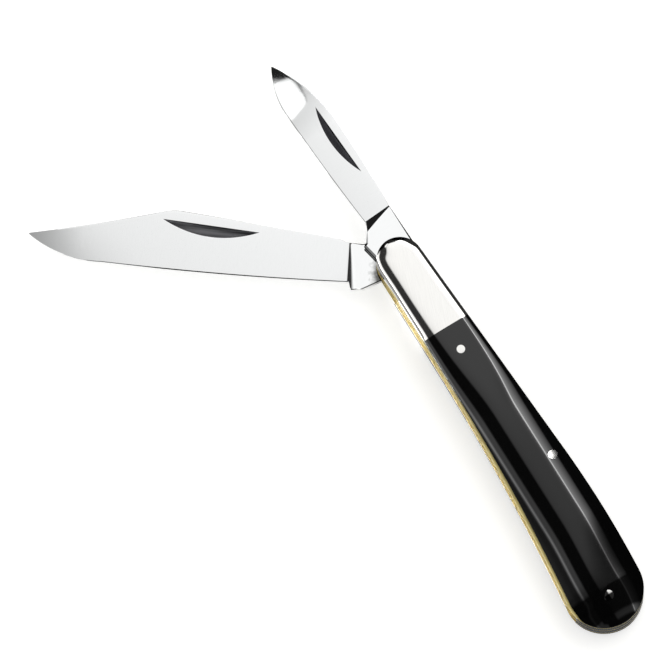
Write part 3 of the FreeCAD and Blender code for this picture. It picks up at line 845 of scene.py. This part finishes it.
def wall(mesh: BMesh, front: list[BMVert], back: list[BMVert]) -> list[BMFace]:
    """Joins two chains of vertices with a row of faces, and gives those faces."""
    return [mesh.faces.new(corners) for corners in zip(front, front[1:], back[1:], back)]


def on_line(x: float, lean: float, offset: float) -> Point:
    """Gives the point at x on the leaning line that passes the pivot at an offset."""
    return x, (offset - x * math.cos(lean)) / math.sin(lean)


def tang_outline(lean: float) -> list[Point]:
    """Gives a tang's outline, from its square back round the cam to the end of its leaning flat."""
    wrap = lean + math.acos(TANG_FLAT / CAM_RADIUS)
    cam_start = (-math.sqrt(CAM_RADIUS ** 2 - TANG_FLAT ** 2), -TANG_FLAT)
    cam_end = (CAM_RADIUS * math.cos(wrap), CAM_RADIUS * math.sin(wrap))
    chain = [(TANG_STEP, -TANG_BACK), (TANG_STEP, -TANG_FLAT), cam_start]
    chain += arc(cam_start, cam_end, CAM_RADIUS, Turn.RIGHT, 0.2)
    return chain + [on_line(TANG_END, lean, TANG_FLAT)]


def main_blade() -> Blade:
    """Gives the clip-point main blade."""
    lean = math.radians(96.4)
    shoulder, hump, clip, clip_end = (7.6, -5.9), (13.9, -6.05), (46.2, -7.97), (49.9, -7.49)
    heel, belly, tip = (11.1, 2.52), (61.5, 4.27), (77.0, 0.1)
    foot, kick = on_line(8.2, lean, KICK_LINE), on_line(10.6, lean, KICK_LINE)
    spine = [(TANG_STEP, -TANG_BACK), shoulder]
    spine += arc(shoulder, hump, 8.6, Turn.RIGHT, 0.3) + arc(hump, clip, 1500.0, Turn.LEFT, 1.0)
    spine += arc(clip, clip_end, 10.0, Turn.LEFT, 0.3) + arc(clip_end, tip, 380.0, Turn.RIGHT, 1.0)
    edge = [foot, kick, heel]
    edge += arc(heel, belly, 630.0, Turn.RIGHT, 1.0) + arc(belly, tip, 23.5, Turn.RIGHT, 0.4)
    tang = spine[7:0:-1] + tang_outline(lean) + [(4.1, 1.35), foot]
    return Blade(kind="main", spine=spine, edge=edge, tang=tang, base_z=3.6, thickness=2.0,
                 turn_deg=MAIN_TURN, grind_spine_x=12.2, grind_edge_x=11.2, plunge_deg=17.0,
                 grind_top_y=-7.97, grind_foot_y=4.27, nick_x=40.0, nick_y=-5.65, nick_turn=-1.5,
                 nick_length=19.9, nick_width=2.35, cannel=1.1,
                 taper_start=66.0, taper_run=22.0, point_taper=0.35, keen_width=0.22, keen_slope=0.5,
                 tang_broken=0.2, tang_drop=0.1, bright_kick=2)


def pen_blade() -> Blade:
    """Gives the pen blade."""
    lean = math.radians(93.0)
    shoulder, hump, tip = (12.6, -5.5), (35.5, -7.05), (50.8, -2.75)
    heel, notch, belly = (9.6, 2.75), (13.2, 0.35), (39.5, 0.6)
    kick = on_line(9.3, lean, KICK_LINE)
    spine = [(TANG_STEP, -TANG_BACK), shoulder]
    spine += arc(shoulder, hump, 220.0, Turn.LEFT, 0.8) + arc(hump, tip, 33.0, Turn.LEFT, 0.4)
    edge = [kick, heel] + arc(heel, notch, 9.0, Turn.LEFT, 0.3)
    edge += arc(notch, belly, 480.0, Turn.RIGHT, 0.8) + arc(belly, tip, 18.3, Turn.RIGHT, 0.3)
    tang = tang_outline(lean) + [(4.5, 2.7), kick, heel]
    return Blade(kind="pen", spine=spine, edge=edge, tang=tang, base_z=6.1, thickness=1.8, turn_deg=PEN_TURN,
                 grind_spine_x=13.2, grind_edge_x=13.7, plunge_deg=21.0, grind_top_y=-7.05, grind_foot_y=0.6,
                 nick_x=30.5, nick_y=-5.1, nick_turn=-0.4, nick_length=16.5, nick_width=1.7, cannel=1.15,
                 taper_start=36.4, taper_run=19.8, point_taper=0.75, keen_width=0.2, keen_slope=0.43)


@dataclass(frozen=True)
class Pin:
    """A pin in millimetres: its place, the size of its heads, and how they stand over the covers."""

    place: Point
    radius: float
    dome: float
    shank: float
    proud: float
    askew: Point = (0.0, 0.0)
    probe: float = 0.2

    def heads(self, handle: Handle) -> Heads:
        """Gives top, slope and side of the front and rear heads, which follow the covers round them."""
        x, y = self.place
        height = handle.surface(x, y) + self.proud
        rise_x = handle.surface(x + self.probe, y) - handle.surface(x - self.probe, y)
        rise_y = handle.surface(x, y + self.probe) - handle.surface(x, y - self.probe)
        slope = Vector((rise_x, rise_y, 0)) / (2 * self.probe) + Vector((*self.askew, 0))
        return [(Vector((x, y, handle.front_z + height)), slope, 1),
                (Vector((x, y, handle.cover_thickness - height)), -slope, -1)]


@dataclass
class Pins:
    """The pins: peened heads, dressed down with the covers so that each follows the surface round it."""

    spring: Pin = Pin((48.25, 5.56), radius=0.99, dome=0.04, shank=5.2, proud=0.08, askew=(0.0, -0.03))
    butt: Pin = Pin((78.9, -0.2), radius=1.1, dome=0.1, shank=5.2, proud=0.14, askew=(0.12, 0.1))
    scale: Pin = Pin((20.0, 1.1), radius=0.86, dome=0.012, shank=3.3, proud=0.03)
    pivot: Pin = Pin((0.0, 0.0), radius=1.2, dome=0.0, shank=5.5, proud=-0.12)
    # Points round a pin and along its profile, and the profile's shares: head, shank and closed foot.
    turn_points: int = 57
    row_points: int = 13
    dome_span: Point = (0.0, 0.7)
    shank_span: Point = (0.75, 0.9)
    foot_span: Point = (1.0, 0.95)
    sharp_deg: float = 40.0

    def tree(self) -> NodeTree:
        """Builds the node tree that sets a headed pin on each point and leans its head.

        Returns:
            The tree, with inputs for the pin's sizes and material.
        """
        tree = bpy.data.node_groups.new("peened_pins", "GeometryNodeTree")
        for name, way, kind in (("Geometry", "INPUT", "Geometry"), ("Radius", "INPUT", "Float"),
                                ("Dome", "INPUT", "Float"), ("Shank", "INPUT", "Float"),
                                ("Material", "INPUT", "Material"), ("Geometry", "OUTPUT", "Geometry")):
            tree.interface.new_socket(name, in_out=way, socket_type=f"NodeSocket{kind}")
        given = add(tree, "NodeGroupInput").outputs
        # A grid is rolled up: its length goes round the pin, its width from the crown down the shank.
        grid = add(tree, "GeometryNodeMeshGrid", {
            "Size X": 1.0, "Size Y": 1.0, "Vertices X": self.turn_points, "Vertices Y": self.row_points})
        position = add(tree, "GeometryNodeInputPosition").outputs[0]
        spot = add(tree, "ShaderNodeSeparateXYZ", {0: position}).outputs
        angle = add(tree, "ShaderNodeMath", {0: spot["X"], 1: math.tau}, operation="MULTIPLY")
        along = add(tree, "ShaderNodeMath", {0: spot["Y"], 1: 0.5}, operation="ADD")
        out, down, end = (add(tree, "ShaderNodeMapRange", {
            "Value": along, "From Min": start, "From Max": stop})
            for start, stop in (self.dome_span, self.shank_span, self.foot_span))
        wide = add(tree, "ShaderNodeMath", {0: out, 1: end}, operation="MULTIPLY")
        reach = add(tree, "ShaderNodeMath", {0: wide, 1: given["Radius"]}, operation="MULTIPLY")
        swell = add(tree, "ShaderNodeMath", {0: out, 1: 2.0}, operation="POWER")
        drop = add(tree, "ShaderNodeMath", {0: swell, 1: given["Dome"]}, operation="MULTIPLY")
        shank = add(tree, "ShaderNodeMath", {0: down, 1: given["Shank"]}, operation="MULTIPLY")
        depth = add(tree, "ShaderNodeMath", {0: drop, 1: shank}, operation="ADD")
        low = add(tree, "ShaderNodeMath", {0: depth, 1: -1.0}, operation="MULTIPLY")
        cos = add(tree, "ShaderNodeMath", {0: angle}, operation="COSINE")
        sin = add(tree, "ShaderNodeMath", {0: angle}, operation="SINE")
        x = add(tree, "ShaderNodeMath", {0: cos, 1: reach}, operation="MULTIPLY")
        y = add(tree, "ShaderNodeMath", {0: sin, 1: reach}, operation="MULTIPLY")
        place = add(tree, "ShaderNodeCombineXYZ", {"X": x, "Y": y, "Z": low})
        turned = add(tree, "GeometryNodeSetPosition", {"Geometry": grid, "Position": place})
        closed = add(tree, "GeometryNodeMergeByDistance", {"Geometry": turned, "Distance": SAME_PLACE})
        own = add(tree, "GeometryNodeCaptureAttribute", {"Geometry": closed})
        own.capture_items.new("VECTOR", "own")
        tree.links.new(position, own.inputs[1])
        lean = add(tree, "GeometryNodeInputNamedAttribute", {"Name": "lean"}, data_type="FLOAT_VECTOR")
        way = add(tree, "GeometryNodeInputNamedAttribute", {"Name": "way"}, data_type="FLOAT")
        size = add(tree, "ShaderNodeCombineXYZ", {"X": 1.0, "Y": 1.0, "Z": way})
        many = add(tree, "GeometryNodeInstanceOnPoints", {
            "Points": given["Geometry"], "Instance": own, "Scale": size})
        real = add(tree, "GeometryNodeRealizeInstances", {"Geometry": many})
        rise = add(tree, "ShaderNodeVectorMath", {0: own.outputs[1], 1: lean}, operation="DOT_PRODUCT")
        shear = add(tree, "ShaderNodeCombineXYZ", {"Z": rise.outputs["Value"]})
        leaned = add(tree, "GeometryNodeSetPosition", {"Geometry": real, "Offset": shear})
        shaded = add(tree, "GeometryNodeSetMaterial", {"Geometry": leaned, "Material": given["Material"]})
        add(tree, "NodeGroupOutput", {"Geometry": shaded})
        return tree

    def make(self, name: str, pin: Pin, heads: Heads, metal: Material, nodes: tuple[str, ...]) -> None:
        """Sets pins on points and dresses them as one piece.

        Args:
            name: The piece's name.
            pin: The pin whose sizes they have.
            heads: Each head's top, the slope of its head, and 1 for the front or -1 for the rear.
            metal: The pins' finish.
            nodes: The CAD nodes that they stand for.
        """
        points = bpy.data.meshes.new(f"{name}_points")
        points.from_pydata([tuple(top * MM) for top, _, _ in heads], [], [])
        points.attributes.new("lean", "FLOAT_VECTOR", "POINT").data.foreach_set(
            "vector", [part for _, slope, _ in heads for part in slope])
        points.attributes.new("way", "FLOAT", "POINT").data.foreach_set("value", [way for _, _, way in heads])
        holder = link(f"{name}_holder", points)
        tree = bpy.data.node_groups.get("peened_pins") or self.tree()
        modifier = holder.modifiers.new("pins", "NODES")
        modifier.node_group = tree
        keys = {item.name: item.identifier for item in tree.interface.items_tree
                if item.item_type == "SOCKET" and item.in_out == "INPUT"}
        for size, value in (("Radius", pin.radius), ("Dome", pin.dome), ("Shank", pin.shank)):
            modifier[keys[size]] = value * MM
        modifier[keys["Material"]] = metal
        shaped = evaluated(holder)
        mesh = bmesh.new()
        mesh.from_mesh(shaped)
        bmesh.ops.recalc_face_normals(mesh, faces=mesh.faces)
        mesh.to_mesh(shaped)
        mesh.free()
        finish_mesh(name, shaped, [metal], self.sharp_deg, "handle", nodes)

    def build(self, handle: Handle) -> None:
        """Builds and dresses all the pins.

        Args:
            handle: The handle that they go through.
        """
        metal = NICKEL_SILVER.material()
        self.make("spring_pin_heads", self.spring, self.spring.heads(handle), PEENED_SILVER.material(),
                  ("spring_pin",))
        self.make("butt_pin_heads", self.butt, self.butt.heads(handle), metal, ("butt_pin",))
        self.make("short_pins", self.scale, self.scale.heads(handle), metal,
                  ("front_scale_pin", "rear_scale_pin"))
        # The pivot ends flat, a little under the bolsters' outer faces.
        flat, height = Vector((0, 0, 0)), handle.cover_thickness + self.pivot.proud
        ends = [(Vector((*self.pivot.place, handle.front_z + height)), flat, 1),
                (Vector((*self.pivot.place, handle.cover_thickness - height)), flat, -1)]
        self.make("pivot_shaft", self.pivot, ends, metal, ("pivot_pin",))


@dataclass
class Studio:
    """A pale floor under a light tent, with black panels that give polished metal its edges."""

    azimuth_right: Point = (0.5247, 0.8513)
    elevation_deg: float = 78.5
    target: Place = (3.0, -19.0, 9.0)
    frame_width: float = 134.9
    distance: float = 6000.0
    sensor: float = 36.0
    ambient: float = 0.75
    floor_colour: str = "E8E8E6"
    floor_lift: float = 0.46
    tent_radius: float = 320.0
    key_strength: float = 1.4
    # In metres: how far the camera sees, half the floor's side, and the key light's size and place.
    sight: float = 50.0
    floor_half: float = 3.0
    key_size: Point = (0.7, 0.5)
    key_place: Place = (-0.1, 0.35, 0.6)
    # A pale skirt hangs low round the tent, by the sine of the height, and is open ahead of the nose.
    skirt_span: Point = (0.36, 0.27)
    skirt_level: float = 0.75
    skirt_break: Place = (-0.85, 0.52, 0.0)
    break_span: Point = (0.5, 0.2)
    # Brightness by angle from overhead, across the handle: belly side below zero, back above.
    across: Stops = ((-90, 0.6), (-55, 0.45), (-50, 0.4), (-46, 0.25), (-41.6, 0.25), (-40, 1.6),
                     (-38.6, 5.0), (-36, 1.1), (-31, 1.2), (-28.5, 0.035), (-12, 0.035), (-10.7, 0.55),
                     (-10.2, 0.7), (-9.5, 0.84), (-8.9, 0.94), (-8.3, 0.98), (-7.6, 1.03), (-2, 1.12),
                     (1, 1.15), (6, 1.18), (18, 1.2), (22, 1.5), (24.2, 2.5), (25.4, 20.0), (26.8, 6.0),
                     (33, 3.2), (37, 1.7), (38.4, 1.0), (39.4, 0.03), (90, 0.03))
    # The same along the handle: nose side below zero, butt above.
    along: Stops = ((-90, 0.005), (-44, 0.005), (-40, 1.1), (-10, 1.02), (-4, 1.0), (-2.5, 0.85), (-1, 0.74),
                    (2.7, 0.66), (3.8, 0.36), (5, 0.15), (7, 0.02), (44, 0.02), (47, 0.25), (51, 0.3),
                    (54, 0.02), (90, 0.02))
    # How high the cards round the butt and along the belly lie over the floor.
    low_height: float = 0.2
    # The card round the butt, a painted shadow: a dark sheet that reflections see in place of the floor's
    # contact shadow. Its angles, its distances from the handle and its brightness.
    butt_turns: range = range(-80, 71, 5)
    butt_gaps: Point = (0.3, 9.0)
    butt_level: float = 0.12
    # Strips along the belly: distances from the handle, then brightness by the bolster and by the scale. The
    # nearest, belly_foot, is a painted shadow: a dim sheet that reflections see in place of the floor's
    # contact shadow.
    belly_reach: range = range(3, 76, 4)
    belly_strips: tuple[tuple[str, Point, Point, Point], ...] = (
        ("belly_foot", (0.04, 0.56), (0.42, 0.42), (0.42, 0.42)),
        ("belly_card", (0.56, 0.88), (9.0, 9.0), (9.0, 9.0)),
        ("belly_wing", (0.88, 4.0), (2.7, 2.7), (0.03, 1.5)))
    # The shade over the pen blade's point: x, then brightness at its two sides.
    shade_height: float = 61.0
    shade_sides: Point = (-14.0, 3.0)
    shade: tuple[Place, ...] = (
        (-100, 0.015, 0.015), (-60.2, 0.015, 0.015), (-58.9, 0.015, 0.55), (-57.3, 0.35, 0.85),
        (-54, 0.66, 0.95), (-51, 0.74, 1.02), (-47.5, 0.8, 1.08), (-43, 0.95, 1.2))
    # The white card under the shade, and the hook on its side: width, then brightness at its two sides.
    white_height: float = 60.0
    white_level: float = 1.35
    white: tuple[tuple[Point, Point], ...] = (
        ((-54.5, -8.0), (-60.0, 0.3)), ((-53.4, -14.0), (-58.7, 0.2)),
        ((-52.5, -14.0), (-56.6, -0.8)), ((-51.0, -14.0), (-53.5, -1.9)),
        ((-50.4, -14.0), (-52.0, -2.8)), ((-49.5, -14.0), (-50.9, -4.2)),
        ((-48.0, -14.0), (-48.6, -8.2)), ((-47.3, -14.0), (-47.3, -12.0)))
    hook_way: Point = (0.5, 0.85)
    hook: tuple[Place, ...] = (
        (1.0, 0.015, 0.015), (0.9, 0.015, 0.03), (0.7, 0.06, 0.4), (0.5, 0.35, 0.75),
        (0.4, 0.6, 0.9))

    def camera(self) -> None:
        """Sets the camera at the photograph's angle."""
        right = Vector((*self.azimuth_right, 0)).normalized()
        toward = Vector((right.y, -right.x, 0))
        tilt = math.radians(self.elevation_deg)
        back = toward * math.cos(tilt) + Vector((0, 0, 1)) * math.sin(tilt)
        up = back.cross(right)
        data = bpy.data.cameras.new("camera")
        data.sensor_width = self.sensor
        data.lens = self.sensor * self.distance / self.frame_width
        data.clip_end = self.sight
        camera = link("camera", data)
        place = (Vector(self.target) + back * self.distance) * MM
        camera.matrix_world = Matrix.Translation(place) @ Matrix((right, up, back)).transposed().to_4x4()
        bpy.context.scene.camera = camera

    def seen(self, tree: NodeTree) -> Node:
        """Gives 1 for what the eye sees straight, in a reflection or through glass, and else 0."""
        path = add(tree, "ShaderNodeLightPath").outputs
        pair = add(tree, "ShaderNodeMath", {0: path["Is Camera Ray"], 1: path["Is Glossy Ray"]},
                   operation="MAXIMUM")
        return add(tree, "ShaderNodeMath", {0: pair, 1: path["Is Transmission Ray"]}, operation="MAXIMUM")

    def world(self) -> None:
        """Makes the white surround: plain light for the object, white where it is seen."""
        world = bpy.data.worlds.new("surround")
        world.use_nodes = True
        tree = world.node_tree
        tree.nodes.clear()
        light = add(tree, "ShaderNodeBackground", {"Color": WHITE, "Strength": self.ambient})
        white = add(tree, "ShaderNodeBackground", {"Color": WHITE, "Strength": 1.0})
        both = add(tree, "ShaderNodeMixShader", {0: self.seen(tree), 1: light, 2: white})
        add(tree, "ShaderNodeOutputWorld", {"Surface": both})
        bpy.context.scene.world = world

    def floor(self) -> None:
        """Lays the floor: pale, lifted to white where it is seen, and it keeps the shadow."""
        material, tree = blank_material("pale_floor")
        lift = add(tree, "ShaderNodeMath", {0: self.seen(tree), 1: self.floor_lift}, operation="MULTIPLY")
        close(tree, add(tree, "ShaderNodeBsdfPrincipled", {
            "Base Color": linear(self.floor_colour), "Roughness": 0.9, "Specular IOR Level": 0.0,
            "Emission Color": WHITE, "Emission Strength": lift}))
        mesh = bpy.data.meshes.new("floor")
        half = self.floor_half
        mesh.from_pydata([(-half, -half, 0), (half, -half, 0), (half, half, 0), (-half, half, 0)], [],
                         [(0, 1, 2, 3)])
        mesh.materials.append(material)
        floor = link("floor", mesh)

    def brightness(self, tree: NodeTree, angle: Node, stops: Stops) -> Node:
        """Adds a brightness curve over an angle from -90 to 90 degrees.

        Args:
            tree: The tree.
            angle: The node that gives the angle in radians.
            stops: Degrees and brightness.

        Returns:
            The node that gives the brightness.
        """
        top = max(level for _, level in stops)
        share = add(tree, "ShaderNodeMapRange", {
            "Value": angle, "From Min": -math.pi / 2, "From Max": math.pi / 2})
        curve = add(tree, "ShaderNodeValToRGB", {"Fac": share})
        elements = curve.color_ramp.elements
        elements.remove(elements[0])
        points = [((degrees + 90) / 180, (level / top,) * 3 + (1,)) for degrees, level in stops]
        elements[0].position, elements[0].color = points[0]
        for position, colour in points[1:]:
            elements.new(position).color = colour
        return add(tree, "ShaderNodeMath", {0: curve, 1: top}, operation="MULTIPLY")

    def hang(self, name: str, mesh: Mesh, material: Material) -> None:
        """Sets up a part of the stage that only reflections see."""
        mesh.materials.append(material)
        panel = link(name, mesh)
        panel.visible_camera = panel.visible_diffuse = False
        panel.visible_shadow = panel.visible_transmission = False

    def tent(self) -> None:
        """Hangs the tent: bright and dark panels that only reflections see."""
        material, tree = blank_material("tent_panels")
        spot = add(tree, "ShaderNodeVectorMath", {0: add(tree, "ShaderNodeTexCoord").outputs["Object"]},
                   operation="NORMALIZE")
        way = add(tree, "ShaderNodeSeparateXYZ", {0: spot}).outputs
        across = add(tree, "ShaderNodeMath", {0: way["Y"], 1: way["Z"]}, operation="ARCTAN2")
        along = add(tree, "ShaderNodeMath", {0: way["X"]}, operation="ARCSINE")
        panels = add(tree, "ShaderNodeMath", {
            0: self.brightness(tree, across, self.across),
            1: self.brightness(tree, along, self.along)}, operation="MULTIPLY")
        skirt = add(tree, "ShaderNodeMapRange", {
            "Value": way["Z"], "From Min": self.skirt_span[0], "From Max": self.skirt_span[1],
            "To Min": 0.0, "To Max": self.skirt_level})
        ahead = add(tree, "ShaderNodeVectorMath", {0: spot, 1: self.skirt_break}, operation="DOT_PRODUCT")
        kept = add(tree, "ShaderNodeMapRange", {
            "Value": ahead.outputs["Value"], "From Min": self.break_span[0], "From Max": self.break_span[1]})
        hung = add(tree, "ShaderNodeMath", {0: skirt, 1: kept}, operation="MULTIPLY")
        strength = add(tree, "ShaderNodeMath", {0: panels, 1: hung}, operation="MAXIMUM")
        close(tree, add(tree, "ShaderNodeEmission", {"Color": WHITE, "Strength": strength}))
        mesh = bmesh.new()
        bmesh.ops.create_uvsphere(mesh, u_segments=64, v_segments=32, radius=self.tent_radius * MM)
        low = [vert for vert in mesh.verts if vert.co.z < -SAME_PLACE]
        bmesh.ops.delete(mesh, geom=low, context="VERTS")
        self.hang("tent", as_mesh(mesh, "tent"), material)

    def card(self, name: str, rims: Sequence[tuple[Point, Point]],
             levels: Sequence[Sequence[float]], height: float) -> None:
        """Sets up a card that only reflections see.

        Args:
            name: Its name.
            rims: Pairs of points, in millimetres, that its two long sides run through.
            levels: Its brightness at the points of each pair.
            height: Its height over the floor, in millimetres.
        """
        material, tree = blank_material(name)
        level = add(tree, "ShaderNodeAttribute", attribute_name="level").outputs["Fac"]
        close(tree, add(tree, "ShaderNodeEmission", {"Color": WHITE, "Strength": level}))
        mesh = bpy.data.meshes.new(name)
        verts = [(x * MM, y * MM, height * MM) for pair in rims for x, y in pair]
        mesh.from_pydata(verts, [], [(at, at + 1, at + 3, at + 2) for at in range(0, len(verts) - 2, 2)])
        mesh.attributes.new("level", "FLOAT", "POINT").data.foreach_set(
            "value", [part for pair in levels for part in pair])
        self.hang(name, mesh, material)

    def cards(self, handle: Handle) -> None:
        """Sets up the cards round the butt, along the belly and over the pen blade's point.

        Args:
            handle: The handle whose butt and belly the cards follow.
        """
        # The butt card is a painted shadow: a dark sheet that reflections see in place of the floor's contact
        # shadow.
        reaches = [handle.butt_radius + gap for gap in self.butt_gaps]
        rims = [tuple((handle.butt_x + reach * math.cos(turn), reach * math.sin(turn)) for reach in reaches)
                for turn in map(math.radians, self.butt_turns)]
        self.card("butt_card", rims, [(self.butt_level,) * 2] * len(rims), self.low_height)
        # The nearest belly strip is a painted shadow too: a dim sheet that reflections see in place of the
        # floor's contact shadow.
        foot = [(x, handle.edge_y(x, False)) for x in self.belly_reach]
        for name, gaps, by_bolster, by_scale in self.belly_strips:
            self.card(name, [tuple((x, y - gap) for gap in gaps) for x, y in foot],
                      [by_bolster if x < handle.bolster_line else by_scale for x, _ in foot],
                      self.low_height)
        self.card("point_shade", [tuple((x, side) for side in self.shade_sides) for x, _, _ in self.shade],
                  [levels for _, *levels in self.shade], self.shade_height)
        self.card("point_white", self.white, [(self.white_level,) * 2] * len(self.white), self.white_height)
        rims = [(inner, tuple(at + way * width for at, way in zip(inner, self.hook_way)))
                for (_, inner), (width, _, _) in zip(self.white, self.hook)]
        self.card("point_hook", rims, [levels for _, *levels in self.hook], self.white_height)

    def key(self) -> None:
        """Hangs the soft key light over the back of the handle."""
        data = bpy.data.lights.new("key", "AREA")
        data.shape = "RECTANGLE"
        data.size, data.size_y = self.key_size
        data.energy = self.key_strength
        light = link("key", data)
        place = Vector(self.key_place)
        light.matrix_world = Matrix.Translation(place) @ place.to_track_quat("Z", "Y").to_matrix().to_4x4()
        light.visible_glossy = False

    def build(self, handle: Handle) -> None:
        """Sets up camera, surround, floor, tent, cards and key light.

        Args:
            handle: The handle that the cards stand round.
        """
        self.camera()
        self.world()
        self.floor()
        self.tent()
        self.cards(handle)
        self.key()
        bpy.context.scene.view_settings.view_transform = "Standard"


def main() -> None:
    """Loads the frame, dresses the knife and lights it."""
    logging.basicConfig(level=logging.INFO, format="%(name)s %(message)s")
    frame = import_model()
    handle = Handle()
    Studio().build(handle)
    handle.build()
    handle.dress(frame["nodes"])
    main_blade().build(MAIN_STEEL.material(), MAIN_NICK.material())
    pen_blade().build(PEN_STEEL.material(), PEN_NICK.material())
    Pins().build(handle)


if __name__ == "__main__":
    main()
